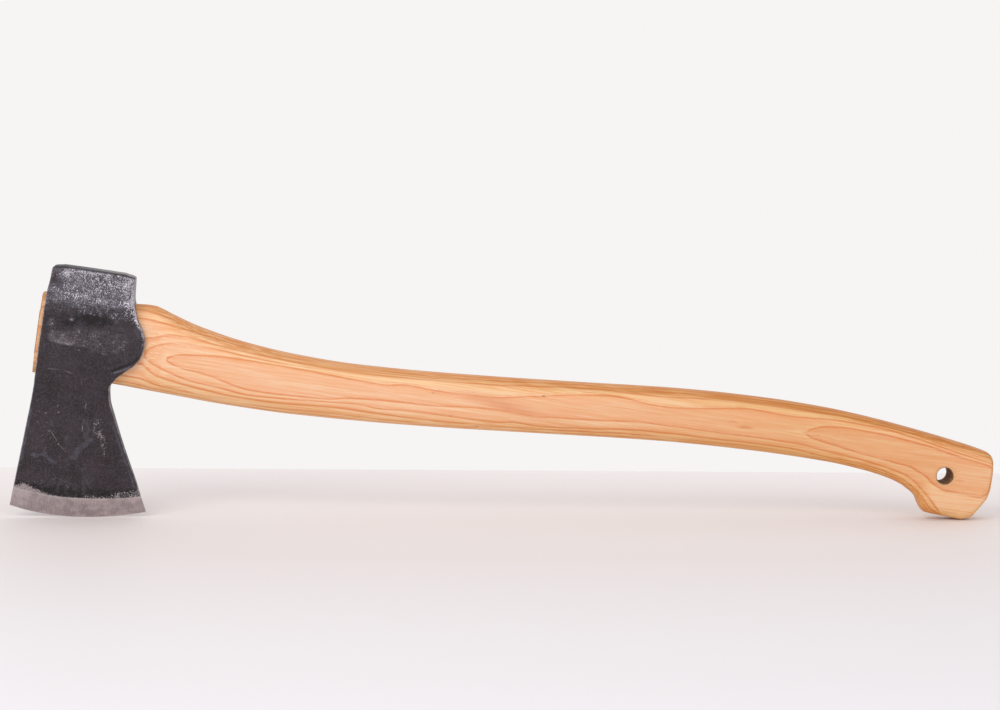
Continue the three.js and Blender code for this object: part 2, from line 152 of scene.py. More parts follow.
# Where ring lines cut the haft's near face, (x, z): the upper and the lower branch of each. The
# first runs the whole haft; each later one starts at a nose, where its two branches meet.
BOLD_LINE = [(141, -0.9), (165, -2.2), (188, -3.1), (203, -1.2), (230, -2.1), (262, -1),
             (271, 0.5), (284, 2.8), (317, 8.2), (339, 10.5), (370, 8.3), (405, 11.8),
             (428, 14.6), (455, 13.7), (487, 15.2), (513, 14.4), (540, 10.8), (566, 5.8), (595, 0.8)]
RING_LINES = [
    ([(-40, 4), (34, 5.7), (50, 9.7), (60, 9.8), (79, 7.3), (112, 4.6), (150, 2.1), (172, 1.8),
      (200, 3.1), (258, 6.5), (310, 11.8), (340, 13.7), (365, 14.1), (405, 17.5), (440, 18.6),
      (490, 18), (513, 16.5), (540, 12.8), (566, 7.6), (595, 3.6)],
     [(-40, -14), (31, -12.2), (44, -18.5), (66, -21.8), (95, -24.6), (112, -24.9), (170, -22.3),
      (205, -22.6), (250, -21.2), (300, -17.7), (360, -12.9), (405, -11.4), (454, -10.8),
      (490, -12.4), (521, -16), (541, -22.6), (550, -31), (556, -38), (562, -48)]),
    ([(33.5, -6), (34.2, -3.4), (36.5, -0.9), (41, 1.7), (50, 4.7), (60, 5.5), (79, 4.7),
      (100, 2.7), (120, 1.4)] + [(x, z + 1.6) for x, z in BOLD_LINE],
     [(33.5, -6), (34.2, -7.8), (36.5, -9.3), (44, -12.5), (54, -15.6), (66, -18.4), (87, -20.4),
      (103, -22.2), (145, -20), (175, -18.2), (187, -19.2), (205, -18.1), (264, -17.5),
      (277, -16), (290, -16.3), (317, -14.2), (363, -9.6), (405, -8.6), (455, -7.7), (480, -10),
      (508, -11.7), (532, -16.4), (541, -20.6), (548, -26), (557, -35), (564, -47)]),
    ([(48.7, -6.7), (49.4, -5.1), (52, -3.6), (57.5, -1.8), (66, -0.9), (81, 0.5), (100, 0.4),
      (120, 0)] + BOLD_LINE,
     [(48.7, -6.7), (49.4, -7.9), (54, -9.5), (62, -11.4), (72, -12.5), (90, -16.4), (101, -18.6),
      (112, -19), (145, -18.1), (156, -17.3), (166, -15.3), (205, -12.9), (218, -12.7),
      (245, -10.4), (270, -9.5), (291, -10.4), (300, -9.2), (323, -7.7), (350, -4.9),
      (363, -4.2), (461, -3.9), (479, -5.9), (508, -8.9), (532, -13.2), (540, -15.9),
      (553, -25.8), (564, -36.5), (572, -46)]),
    ([(467, 4.5), (467.8, 5.8), (470, 7.2), (474, 8.9), (482, 10.4), (494, 11.1), (507, 10.8),
      (546, 7.2), (573, 2.4), (595, -0.8)],
     [(467, 4.5), (467.8, 3.1), (470, 2), (474, 0.8), (490, -2.1), (503, -4.2), (527, -7.2),
      (538, -8.4), (546, -11.2), (558, -18.5), (564, -20.9), (572, -21.7), (595, -22.8)]),
]
# The middle of the innermost ring, and how many rings deep the face cuts there.
RING_MIDDLE = [(-40, -5), (33.5, -6), (48.7, -6.7), (80, -6.5), (110, -9), (160, -8.5),
               (240, -6), (270, -4.5), (300, -1), (340, 2), (400, 3.5), (467, 4.5), (500, 3.5),
               (540, -0.5), (560, -6), (595, -10)]
SHADOW_MID = (268.0, -5.6)        # a reddish shadow in the grain, where a ring just grazes the face
SHADOW_SIZE = (26.0, 3.6)
SHADOW_SLOPE = -0.14
RING_DEPTH = [(-40, 2.6), (33.5, 3), (48.7, 4), (60, 4.35), (80, 4.55), (110, 4.62), (270, 4.4),
              (340, 4.65), (400, 4.85), (467, 5), (482, 5.2), (505, 5.35), (540, 5.5), (595, 5.6)]
# How far the oil has darkened the stick along its length.
OILED = [(-34, 0.45), (-20, 0), (190, 0), (340, 0.32), (400, 0.50), (465, 0.72), (520, 0.72),
         (555, 0.74), (578, 0.50), (595, 0.48)]

# ------------------------------------------------------------------------------ camera and stage
CAMERA_AT = (-0.14968, -1.7789, 0.2990)
CAMERA_YAW = 4.627                # degrees from +Y towards +X
CAMERA_PITCH = 6.136              # degrees below the horizon
CAMERA_ROLL = 0.881
LENS = 99.32
TABLE_BACK = 0.212                # how far behind the axe the table's far edge runs
TABLE_TURN = -1.1                 # degrees that this edge is out of square
TABLE_HALF_WIDTH = 2.4
TABLE_FRONT = -2.6
WORLD_LEVEL = 0.60                # how bright the room is level with the axe, and how much it
WORLD_BACK = 0.25                 # gains towards the wall behind it
WORLD_ABOVE = 0.40                # and overhead


# ----------------------------------------------------------------------------------- small maths

def inner_slopes(slope):
    """Slopes at the inner knots: 0 where the curve turns, so that it never overshoots."""
    same = slope[..., :-1] * slope[..., 1:] > 0
    total = np.where(same, slope[..., :-1] + slope[..., 1:], 1.0)
    return np.where(same, 2 * slope[..., :-1] * slope[..., 1:] / total, 0.0)


def cubic(k, h, value, slope):
    """Cubic at the share k between two knots h apart, from the pairs of values and slopes."""
    start = (1 + 2 * k) * (1 - k) ** 2 * value[0] + k * (1 - k) ** 2 * h * slope[0]
    end = k * k * (3 - 2 * k) * value[1] + k * k * (k - 1) * h * slope[1]
    return start + end


def curve(knots):
    """Monotone cubic through (s, value) knots, for arrays."""
    s = np.array([k[0] for k in knots], float)
    v = np.array([k[1] for k in knots], float)
    h = np.diff(s)
    slope = np.diff(v) / h
    tangent = np.concatenate([slope[:1], inner_slopes(slope), slope[-1:]])

    def at(x):
        t = np.clip(np.asarray(x, float), s[0], s[-1])
        i = np.clip(np.searchsorted(s, t, side="right") - 1, 0, len(s) - 2)
        return cubic((t - s[i]) / h[i], h[i], (v[i], v[i + 1]), (tangent[i], tangent[i + 1]))

    return at


def smooth(x, low, high):
    t = np.clip((np.asarray(x, float) - low) / (high - low), 0, 1)
    return t * t * (3 - 2 * t)


def wave(points, size, seed):
    """Smooth noise between -1 and 1 at the points (n by 3, mm), with lumps of about the given sizes."""
    scaled = points / np.asarray(size, float) + seed * np.array([17.3, -5.1, 9.7])
    return np.array([noise.noise(Vector(p)) for p in scaled])


front_x = curve(FRONT)
rear_x = curve(REAR)
cheek_half = curve(CHEEK)
eye_half_y = curve(EYE_HALF_Y)
haft_top = curve(TOP)
haft_bottom = curve(BOTTOM)
haft_half = curve(HALF_Y)
haft_power = curve(POWER)


# ---------------------------------------------------------------------------------- mesh helpers

def eye_frame():
    """Matrix from the eye's frame, in mm, to the part frame, in metres, from the poll_face mount."""
    mount = next(m for m in frame["record"]["mounts"] if m["name"] == "poll_face")
    up = Vector(mount["axis"]).normalized()
    across = Vector((0, 1, 0))
    along = across.cross(up)
    turn = Matrix((along, across, up)).transposed()
    origin = Vector(mount["pos_m"]) - turn @ (Vector(POLL_MID) * MM)
    return Matrix.Translation(origin) @ turn.to_4x4() @ Matrix.Scale(MM, 4)


TO_PART = eye_frame()


def make_object(name, points, faces):
    mesh = bpy.data.meshes.new(name)
    mesh.from_pydata([tuple(p) for p in points], [], faces)
    mesh.update()
    mesh.validate()
    obj = bpy.data.objects.new(name, mesh)
    bpy.context.scene.collection.objects.link(obj)
    return obj


def points_of(obj):
    co = np.zeros(len(obj.data.vertices) * 3)
    obj.data.vertices.foreach_get("co", co)
    return co.reshape(-1, 3)


def normals_of(obj):
    co = np.zeros(len(obj.data.vertices) * 3, np.float32)
    obj.data.vertex_normals.foreach_get("vector", co)
    return co.reshape(-1, 3).astype(float)


def move_points(obj, points):
    obj.data.vertices.foreach_set("co", np.asarray(points, np.float32).ravel())
    obj.data.update()


def ring_faces(rows, size):
    faces = []
    for r in range(rows - 1):
        for i in range(size):
            a = r * size + i
            b = r * size + (i + 1) % size
            faces.append((a, b, b + size, a + size))
    return faces


def solid_faces(rows, size):
    """Faces of a closed stack of rings, with a flat lid at each end."""
    last = (rows - 1) * size
    lids = [tuple(range(size - 1, -1, -1)), tuple(range(last, last + size))]
    return ring_faces(rows, size) + lids


def outward(obj):
    """Turns the faces outwards if the mesh is inside out."""
    mesh = obj.data
    mesh.calc_loop_triangles()
    p = points_of(obj)
    tri = np.array([t.vertices for t in mesh.loop_triangles])
    volume = np.einsum("ij,ij->i", p[tri[:, 0]], np.cross(p[tri[:, 1]], p[tri[:, 2]])).sum()
    if volume < 0:
        mesh.flip_normals()
    return obj


def apply_modifiers(obj):
    depsgraph = bpy.context.evaluated_depsgraph_get()
    mesh = bpy.data.meshes.new_from_object(obj.evaluated_get(depsgraph))
    obj.modifiers.clear()
    obj.data = mesh


def combine(obj, other, operation):
    """Boolean with another object, which is used up."""
    modifier = obj.modifiers.new("cut", "BOOLEAN")
    modifier.operation = operation
    modifier.solver = "EXACT"
    modifier.object = other
    apply_modifiers(obj)
    bpy.data.objects.remove(other)


def store(obj, name, values):
    attribute = obj.data.attributes.new(name, "FLOAT", "POINT")
    attribute.data.foreach_set("value", np.asarray(values, np.float32))


def store_vector(obj, name, values):
    attribute = obj.data.attributes.new(name, "FLOAT_VECTOR", "POINT")
    attribute.data.foreach_set("vector", np.asarray(values, np.float32).ravel())


def finish_piece(obj, node, material, sharp_degrees):
    """Puts a piece modelled in the eye's frame into the part and ties it to the CAD frame."""
    obj.data.transform(TO_PART)
    obj.data.materials.clear()
    obj.data.materials.append(material)
    obj.data.shade_smooth()
    obj.data.set_sharp_from_angle(angle=math.radians(sharp_degrees))
    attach(obj, "root")
    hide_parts(node)
    return obj


# ------------------------------------------------------------------------------------- the head

HEAD_ACROSS = 120
# Shares of the half thickness: how far the sides fall from their middle to the outline, on the blade
# and round the eye, and roughly what is left at the outline.
BLADE_FALL = 0.2
EYE_FALL = 0.08
RIM_SHARE = 0.86
BEVEL_BELLY = 0.12                # how far the ground bevel bulges
POLL_LID = 0.3                    # width of the flat strip between the poll's round edge and its face
EYE_ROUND = 88                    # points round the eye
BEVEL_ROWS = 12
BLADE_ROWS = 84
EYE_ROWS = 116
POLL_ROWS = 6


def head_row(level, half, inset, crown):
    """One ring of the head: near side from front to rear, then the far side back again."""
    k = min(max((level - THROAT_Z) / (TOE[1] - THROAT_Z), 0.0), 1.0)
    bend = k ** 1.5
    rear_z = level + (HEEL[1] - TOE[1]) * bend
    front = float(front_x(level)) + inset
    rear = float(rear_x(rear_z)) - inset
    round_y = min(ARRIS, half * 0.45)
    round_u = round_y / (rear - front)
    inner = np.linspace(round_u, 1 - round_u, HEAD_ACROSS)
    u = np.concatenate([round_u * (1 - np.cos(np.radians([0, 30, 60]))), inner,
                        1 - round_u * (1 - np.cos(np.radians([60, 30, 0])))])
    bow = 1 - 2 * u
    full = half * (1 - (BLADE_FALL if level < THROAT_Z else EYE_FALL) * bow ** 2)
    near_rim = np.minimum(u, 1 - u)
    t = np.clip(near_rim / round_u, 0, 1)
    y = full - round_y * (1 - np.sqrt(np.clip(1 - (1 - t) ** 2, 0, 1)))
    belly = 4 * u * (1 - u) * (1 + EDGE_SKEW * bow)
    z = level + (rear_z - level) * u - EDGE_SAG * bend * belly - crown * bow ** 6
    x = front + (rear - front) * u
    near = np.stack([x, -y, z], -1)
    far = np.stack([x, y, z], -1)[::-1]
    return np.concatenate([near, far])


def head_levels():
    """(level, half thickness, inset, crown) of every ring from the cutting edge to the poll."""
    bevel_level = TOE[1] + BEVEL
    rows = []
    for k in np.linspace(0, 1, BEVEL_ROWS):
        half = EDGE_HALF + (BEVEL_HALF - EDGE_HALF) * k + BEVEL_BELLY * math.sin(math.pi * k)
        rows.append((TOE[1] + BEVEL * k, half, 0.0, 0.0))
    top = POLL_Z - POLL_ROUND
    levels = np.concatenate([np.linspace(bevel_level, THROAT_Z, BLADE_ROWS)[1:],
                             np.linspace(THROAT_Z, top, EYE_ROWS)[1:]])
    for level in levels:
        crown = POLL_CROWN * float(smooth(level, CROWN_Z, POLL_Z))
        rows.append((level, float(cheek_half(level)), 0.0, crown))
    for angle in np.linspace(0, math.pi / 2, POLL_ROWS + 1)[1:]:
        drawn = 1 - math.cos(angle)
        half = float(cheek_half(POLL_Z)) - POLL_ROUND * drawn
        rows.append((POLL_Z - POLL_ROUND * (1 - math.sin(angle)), half, POLL_END_ROUND * drawn,
                     POLL_CROWN))
    rows.append((POLL_Z, float(cheek_half(POLL_Z)) - POLL_ROUND - POLL_LID,
                 POLL_END_ROUND + CROWN_REACH, 0.0))
    return rows


def head_blank():
    rings = [head_row(*row) for row in head_levels()]
    size = len(rings[0])
    faces = ring_faces(len(rings), size)
    last = (len(rings) - 1) * size
    for i in range(size // 2 - 1):
        far = size - 1 - i
        faces.append((i, far, far - 1, i + 1))
        faces.append((last + i, last + i + 1, last + far - 1, last + far))
    return outward(make_object("forged_head", np.concatenate(rings), faces))


# Forging marks: size of the lumps along x, y and z, height and seed.
DENTS = [((24, 60, 17), 0.42, 1), ((10, 60, 8), 0.22, 2), ((3.4, 60, 2.6), 0.09, 3)]
# The hollow over the eye and the swell below it: middle x and z, half width, half height.
PINCH = (-3, 8.0, 19, 4.6)
PINCH_DEPTH = 0.95
SWELL = (-2, -5, 22, 5)
SWELL_HEIGHT = 0.35
SKIN = 0.25                       # the hammered sides lie this far under the forged blank's
CREASE_DEPTH = 0.45
# The crease along the lug's underside, also darkened with painted shade, and the painted highlight beside
# it, through (x, z).
LUG_ROLL = [(31, -8), (27, -12.2), (21, -15.4), (15.5, -18.6)]
LUG_HIGHLIGHT = [(26, -15), (21, -17.6), (16.8, -19.6)]


def hammer(obj):
    """Forging marks: shallow planishing dents, rougher round the eye, dying out at the outline."""
    p = points_of(obj)
    n = normals_of(obj)
    rim = rim_distance(p)
    faces_out = smooth(np.abs(n[:, 1]), 0.6, 0.9)
    mask = smooth(rim, 0.3, 5) * smooth(edge_distance(p), BEVEL, BEVEL + 8) * faces_out
    rough = 0.35 + 0.65 * smooth(p[:, 2], -45, -18)
    dents = sum(height * wave(p, size, seed) for size, height, seed in DENTS)
    depth = rough * dents - PINCH_DEPTH * spot(p, *PINCH) + SWELL_HEIGHT * spot(p, *SWELL) - SKIN
    crease = CREASE_DEPTH * stroke(p, LUG_ROLL, 1.2) * smooth(rim, 0.3, 1.5) * faces_out
    move_points(obj, p + n * (depth * mask - crease)[:, None])


def edge_distance(p):
    """Height above the cutting edge, mm."""
    u = np.clip((p[:, 0] - TOE[0]) / (HEEL[0] - TOE[0]), 0, 1)
    bow = 1 - 2 * u
    belly = 4 * u * (1 - u) * (1 + EDGE_SKEW * bow)
    return p[:, 2] - (TOE[1] + (HEEL[1] - TOE[1]) * u - EDGE_SAG * belly)


def rim_distance(p):
    """Distance from the arrises along the head's outline, mm, both on its sides and on its edges."""
    side = np.minimum(p[:, 0] - front_x(p[:, 2]), rear_x(p[:, 2]) - p[:, 0])
    on_side = np.minimum(side, POLL_Z - p[:, 2])
    on_edge = RIM_SHARE * cheek_half(p[:, 2]) - ARRIS - np.abs(p[:, 1])
    return np.clip(np.maximum(on_side, on_edge), 0, None)


def oval(top, bottom, half, power, count):
    """Ring of evenly spaced points across the haft; top and bottom are (x, z) and may differ in x."""
    angle = np.linspace(0, math.pi / 2, 200)
    rise = np.cos(angle) ** (2 / power)
    out = np.sin(angle) ** (2 / power)
    tall = (top[1] - bottom[1]) / 2
    steps = np.hypot(np.diff(rise) * tall, np.diff(out) * half)
    length = np.concatenate([[0], np.cumsum(steps)])
    even = np.linspace(0, length[-1], count // 4 + 1)
    rise = np.interp(even, length, rise)
    out = np.interp(even, length, out)
    up = np.concatenate([rise, -rise[-2::-1], -rise[1:], rise[-2:0:-1]])
    y = -half * np.concatenate([out, out[-2::-1], -out[1:], -out[-2:0:-1]])
    mix = (1 - up) / 2
    x = top[0] + (bottom[0] - top[0]) * mix
    z = top[1] + (bottom[1] - top[1]) * mix
    return np.stack([x, y, z], -1)


def upright(x, top, bottom, half, power, count):
    """Oval square across the haft at x."""
    return oval((x, float(top)), (x, float(bottom)), float(half), float(power), count)


def oval_solid(name, rings):
    """Closed body through oval rings; each end is closed by a small centre fan."""
    size = len(rings[0])
    faces = ring_faces(len(rings), size)
    points = np.concatenate(rings)
    total = len(points)
    last = total - size
    ends = np.array([rings[0].mean(0), rings[-1].mean(0)])
    for i in range(size):
        j = (i + 1) % size
        faces.append((j, i, total))
        faces.append((last + i, last + j, total + 1))
    return outward(make_object(name, np.concatenate([points, ends]), faces))


def eye_cutter():
    top = EYE_MID_Z + EYE_HALF_Z
    bottom = EYE_MID_Z - EYE_HALF_Z
    rings = [upright(x, top, bottom, eye_half_y(x), EYE_POWER, EYE_ROUND)
             for x in np.linspace(-EYE_REACH, EYE_REACH, 25)]
    return oval_solid("eye_cutter", rings)


def spot(q, x, z, half_x, half_z):
    """Soft spot on the head's side, 1 at its middle."""
    return np.exp(-((q[:, 0] - x) / half_x) ** 2 - ((q[:, 2] - z) / half_z) ** 2)


def stroke(q, path, half):
    """Soft stroke along a path of (x, z) points."""
    nearest = np.full(len(q), np.inf)
    at = q[:, [0, 2]]
    for a, b in zip(path, path[1:]):
        a, b = np.array(a, float), np.array(b, float)
        k = np.clip((at - a) @ (b - a) / ((b - a) @ (b - a)), 0, 1)
        nearest = np.minimum(nearest, np.linalg.norm(at - a - k[:, None] * (b - a), axis=1))
    return 1 - smooth(nearest, half * 0.35, half * 1.25)


def mirrored(p):
    """The far side repeats the near side's wear turned back to front."""
    q = p.copy()
    far = p[:, 1] > 0
    q[far, 0] = (front_x(p[:, 2]) + rear_x(p[:, 2]) - p[:, 0])[far]
    return q


def above_bevel(p):
    """Height above the ground bevel's upper edge, which runs a little lower at the heel."""
    return edge_distance(p) - BEVEL - 0.4 + 1.3 * smooth(p[:, 0], 5, 45)


# Outline of the swell of the cheek that is rubbed lighter and given a painted sheen, above and below,
# through (x, z).
LENS_TOP = curve([(-31, 2), (-27, 4), (-13, 5), (-9, 6.5), (2, 8), (10, 8.6), (19, 7), (26, 1)])
LENS_LOW = curve([(-31, -1), (-27, -5), (-15, -6.4), (-5, -6.6), (2, -8), (8, -9.5), (16, -8), (25, -2)])
# Wear on the near side in soft spots: middle x and z, half width, half height, strength.
POLL_SPECKS = [(-21, 39, 3.6, 2.6, 0.4), (-6, 41.5, 5, 1.3, 0.28), (-5, 26, 13, 2.2, 0.16),
               (-4, 36, 11, 4.5, 0.08), (14, 37, 4, 1.6, 0.18), (18, 40.5, 3, 3, 0.25),
               (18.5, 33, 3.4, 9, 0.16), (-27, 33, 4, 8, -0.18), (20, 21, 1.2, 5, 0.35),
               (0, 17, 3, 1.2, 0.2)]
LENS_SPECKS = [(-20, -4.6, 5, 1.5, 0.26), (-11, -5, 2.5, 1.2, 0.2), (-7.5, -8.2, 3, 0.8, 0.75),
               (8, -8, 1.2, 2.2, 0.14), (-18, 1.5, 6, 2, 0.08)]
FRONT_SPECKS = [(-27, 7, 4, 4.5, 0.6), (-14.5, 10.6, 2.2, 1.3, 0.8)]
BLADE_SPECKS = [(10.5, -53, 3.2, 3.6, 0.72), (12.5, -60.5, 3.6, 3.4, 0.92),
                (15.5, -67, 2.8, 5, 0.82), (17.5, -74, 1.5, 4.5, 0.68),
                (8.5, -58, 1.2, 4, 0.5), (20, -60, 1.5, 1.5, 0.5)]
LENS_FILM_AND_SHEEN = [(-20, -3.4, 6, 2.6, 0.18), (-19.5, -4.9, 5, 1.2, 0.3), (-12, -4.8, 3, 1.2, 0.25)]
FRONT_FILM = [(-27, 7, 4, 4.5, 0.5), (-14.5, 10.6, 2.4, 1.5, 0.7)]
# Smears, and spots of painted sheen beside the eye, with the same columns as above.
SMEAR_AND_SHEEN_SPOTS = [(-6, -95, 6, 3.5, 0.55), (9, -92, 5, 6, 0.42), (-10, -81, 5, 5, 0.3),
               (6, -84, 5, 5, 0.35), (16, 9, 5, 3, 0.5), (28.5, 8, 2.2, 4, 0.75),
               (13.5, 22, 3.6, 1.8, 0.95), (14, 31, 5, 3, 0.5), (-8, 18.5, 14, 2.6, 0.55),
               (17, 25.5, 3, 2, 0.4), (2, 41, 6, 2, 0.4)]
# Smears along a path: the path's points, half width, strength.
SMEAR_STROKES = [([(3.5, -54), (4.5, -66)], 3.0, 0.5),
                 ([(6.5, -65.5), (1, -72), (-1.5, -78)], 3.0, 0.85),
                 ([(-28, -80.6), (-22, -79.4), (-13, -83)], 1.7, 0.8),
                 ([(-20.5, -80), (-20.8, -74)], 1.2, 0.7),
                 ([(-8.5, -65), (-7, -76)], 1.5, 0.5)]
# How far bare metal reaches up past the bevel at the toe, through (x, height).
FROST_REACH = curve([(-38, 1.2), (-34, 3.0), (-31, 4.8), (-26, 3.4), (-19, 1.9), (-11, 0.3), (-6, 0)])


def rubbed_and_lit_swell(q):
    """The swell of the cheek under the hollow, rubbed lighter and given a painted sheen: 1 inside its
    ragged outline.
    """
    high = LENS_TOP(q[:, 0]) - q[:, 2]
    low = q[:, 2] - LENS_LOW(q[:, 0])
    side = smooth(q[:, 0], -31, -26) * (1 - smooth(q[:, 0], 21, 26))
    return smooth(low, -0.4, 1.2) * smooth(high, -0.5, 2.6) * side


def marks_at(q, marks):
    """Sum of soft spots, each given as x, z, half width, half height and strength."""
    return sum(gain * spot(q, x, z, half_x, half_z) for x, z, half_x, half_z, gain in marks)


def specks(p, q):
    """How thickly bright worn specks lie in the scale."""
    x, z = q[:, 0], q[:, 2]
    poll = 0.44 * smooth(z, 10, 17) + 0.20 * smooth(z + 1.2 * np.sin(x / 5), 20, 25)
    poll -= 0.20 * (1 - smooth(x, -28, -22)) * smooth(z, 28, 31)
    poll += 0.14 * smooth(z, 39, 42.5) * smooth(x, -26, -20)
    poll += marks_at(q, POLL_SPECKS)
    lug = 0.97 * (1 - smooth(rear_x(z) - x, 1.0, 3.4 + 2.6 * smooth(z, 9, 17))) * smooth(z, -7, 6)
    lens = (0.42 - 0.03 * smooth(x, -12, 14)) * rubbed_and_lit_swell(q) + marks_at(q, LENS_SPECKS)
    front = marks_at(q, FRONT_SPECKS)
    blade = 0.30 * smooth(-z, 30, 45) * (1 - smooth(x, -18, 6)) + marks_at(q, BLADE_SPECKS)
    above = above_bevel(p)
    reach = 2.4 + 3.2 * smooth(x, 18, 38)
    heel = 0.84 * (1 - smooth(above, reach - 1.5, reach + 1.5)) * smooth(x, 2, 8)
    ragged = 0.80 * (1 - smooth(above, 0.3, 1.9))
    return np.clip(np.maximum.reduce([poll, lug, lens, front, blade, heel, ragged]), 0, 1)


def film_and_sheen(q):
    """A thin lighter film on the scale, partly painted sheen: the rubbed poll, and the swell of the cheek
    with its painted sheen.
    """
    x, z = q[:, 0], q[:, 2]
    poll = 0.34 * smooth(z, 10, 17) + 0.34 * smooth(z, 17, 24) - 0.3 * spot(q, -29, 36, 5, 8)
    cheek = (0.52 - 0.16 * smooth(x, -16, -8)) * rubbed_and_lit_swell(q) + marks_at(q, LENS_FILM_AND_SHEEN)
    lug = 0.7 * (1 - smooth(rear_x(z) - x, 0.5, 3)) * smooth(z, -7, 6)
    return np.clip(np.maximum.reduce([poll, cheek, marks_at(q, FRONT_FILM), lug]), 0, 1)


def smears_and_sheen(p, q):
    """Blue-grey smears, with spots of painted sheen beside the eye: on the poll and blade, and the flats
    along the blade's two outlines.
    """
    q = q + np.stack([1.3 * wave(q, (4, 9, 4), 11), 0 * q[:, 0], 1.3 * wave(q, (4, 9, 4), 12)], 1)
    low = -p[:, 2]
    rear_flat = rear_x(p[:, 2]) - p[:, 0]
    rear_flat = smooth(rear_flat, 0.6, 1.4) * (1 - smooth(rear_flat, 2.6, 4.2)) * smooth(low, 48, 58)
    front_flat = p[:, 0] - front_x(p[:, 2])
    front_flat = (1 - smooth(front_flat, 1.9, 2.9)) * smooth(low, 44, 52) * (1 - smooth(low, 80, 96))
    blots = [stroke(q, path, half) * gain for path, half, gain in SMEAR_STROKES]
    blots += [gain * spot(q, x, z, half_x, half_z) for x, z, half_x, half_z, gain in SMEAR_AND_SHEEN_SPOTS]
    return np.maximum.reduce([front_flat * 0.75, rear_flat * 0.7] + blots)


def dark_scale_and_shade(p, q):
    """The darkest scale, with painted shade in the hollow over the eye and in the crease of the lug's
    rolled lower edge, and a darker band above the bevel.
    """
    hollow = np.maximum(spot(q, -1, 12, 15, 4.6), 0.8 * spot(q, -15, 8, 8, 3.4))
    roll = stroke(p, LUG_ROLL, 1.0)
    low = smooth(above_bevel(p), -1, 1) * (1 - smooth(above_bevel(p), 3, 11))
    return np.maximum.reduce([hollow, roll, 0.75 * low])


def frosted(p, q):
    """How far inside the bare metal above the bevel a point lies, mm."""
    return FROST_REACH(q[:, 0]) - above_bevel(p)


def build_head():
    obj = head_blank()
    hammer(obj)
    combine(obj, eye_cutter(), "DIFFERENCE")
    p = points_of(obj)
    q = mirrored(p)
    upward = smooth(normals_of(obj)[:, 2], 0.3, 0.7) * smooth(p[:, 2], 40, 41)
    in_eye = np.abs(p[:, 1]) < eye_half_y(p[:, 0]) + 0.05
    in_eye &= np.abs(p[:, 2] - EYE_MID_Z) < EYE_HALF_Z + 0.05
    store(obj, "above_bevel", above_bevel(p))
    store(obj, "frosted", frosted(p, q))
    store(obj, "rim", np.where(in_eye, 20.0, rim_distance(p)))
    store(obj, "specks", np.where(in_eye, 0.0, specks(p, q)))
    store(obj, "film_and_sheen", np.where(in_eye, 0.0, film_and_sheen(q)))
    store(obj, "smears_and_sheen", np.where(in_eye, 0.0, smears_and_sheen(p, q)))
    # darkest scale, and painted shade in the hollow and the lug's crease
    store(obj, "dark_scale_and_shade", dark_scale_and_shade(p, q))
    # painted highlight beside the lug's crease
    store(obj, "lug_highlight", stroke(p, LUG_HIGHLIGHT, 0.7))
    store(obj, "level", p[:, 2])
    store(obj, "on_top", upward)
    store_vector(obj, "eye_mm", p)
    return finish_piece(obj, "axe_head", forged_steel(), 38)


# ------------------------------------------------------------------------------------- the haft

HAFT_ROUND = 120


def haft_sections():
    rings = tip_rings()
    xs = np.concatenate([np.linspace(-33.2, 62, 72), np.linspace(62, 524, 231)[1:],
                         np.linspace(524, 579.9, 64)[1:-1]])
    rings += [upright(x, haft_top(x), haft_bottom(x), haft_half(x), haft_power(x), HAFT_ROUND)
              for x in xs]
    return rings + knob_rings()


def tip_rings():
    """The tongue's cut end: its slightly domed face from the inside out, then its rounded rim."""
    half = float(haft_half(TIP_X))
    middle = (TIP_TOP + TIP_BOTTOM) / 2
    rings = []
    for k in (0.2, 0.4, 0.6, 0.8, 0.93):
        rings.append(upright(TIP_X + TIP_DOME * k * k, middle + (TIP_TOP - middle) * k,
                             middle + (TIP_BOTTOM - middle) * k, (half - TIP_THINNER) * k, EYE_POWER,
                             HAFT_ROUND))
    full_x = np.array([TIP_FULL_TOP[0], TIP_FULL_BOTTOM[0]])
    for angle in np.radians([0, 20, 40, 60, 80]):
        out = math.sin(angle)
        back = TIP_DOME + (1 - math.cos(angle)) * (full_x - TIP_DOME)
        rings.append(oval((TIP_X + back[0], TIP_TOP + (TIP_FULL_TOP[1] - TIP_TOP) * out),
                          (TIP_X + back[1], TIP_BOTTOM + (TIP_FULL_BOTTOM[1] - TIP_BOTTOM) * out),
                          half - TIP_THINNER * (1 - out), EYE_POWER, HAFT_ROUND))
    return rings


def knob_rings():
    """The knob's slanted end, smoothed through its few given sections."""
    table = np.array(KNOB_END)
    s = np.arange(len(table), dtype=float)
    columns = [curve(list(zip(s, table[:, c]))) for c in range(5)]
    rings = []
    for t in np.linspace(0, s[-1], 34):
        top_x, top_z, bottom_x, bottom_z, share = (float(c(t)) for c in columns)
        rings.append(oval((top_x, top_z), (bottom_x, bottom_z), float(haft_half(top_x)) * share,
                          float(haft_power(top_x)), HAFT_ROUND))
    return rings


HOLE_FLARE = (1.6, 1.4)           # how far the drill's mouth goes on, out and off the face
HOLE_STEP = (0.35, 0.75)          # soft step above the bore: off its wall, under the face
HOLE_ROUND = 64


def hole_cutter():
    """Drill with countersunk mouths on both faces of the knob, with a soft step at each rim."""
    face = float(haft_half(HOLE_X))
    profile = [(HOLE_MOUTH_R + HOLE_FLARE[0], face + HOLE_FLARE[1]), (HOLE_MOUTH_R, face),
               (HOLE_R + HOLE_STEP[0], face - HOLE_STEP[1]), (HOLE_R, face - HOLE_CHAMFER)]
    outline = [(r, -y) for r, y in profile] + [(r, y) for r, y in reversed(profile)]
    points = []
    for r, y in outline:
        for i in range(HOLE_ROUND):
            angle = 2 * math.pi * i / HOLE_ROUND
            points.append((HOLE_X + r * math.cos(angle), y, HOLE_Z + r * math.sin(angle)))
    return outward(make_object("hole_cutter", points, solid_faces(len(outline), HOLE_ROUND)))


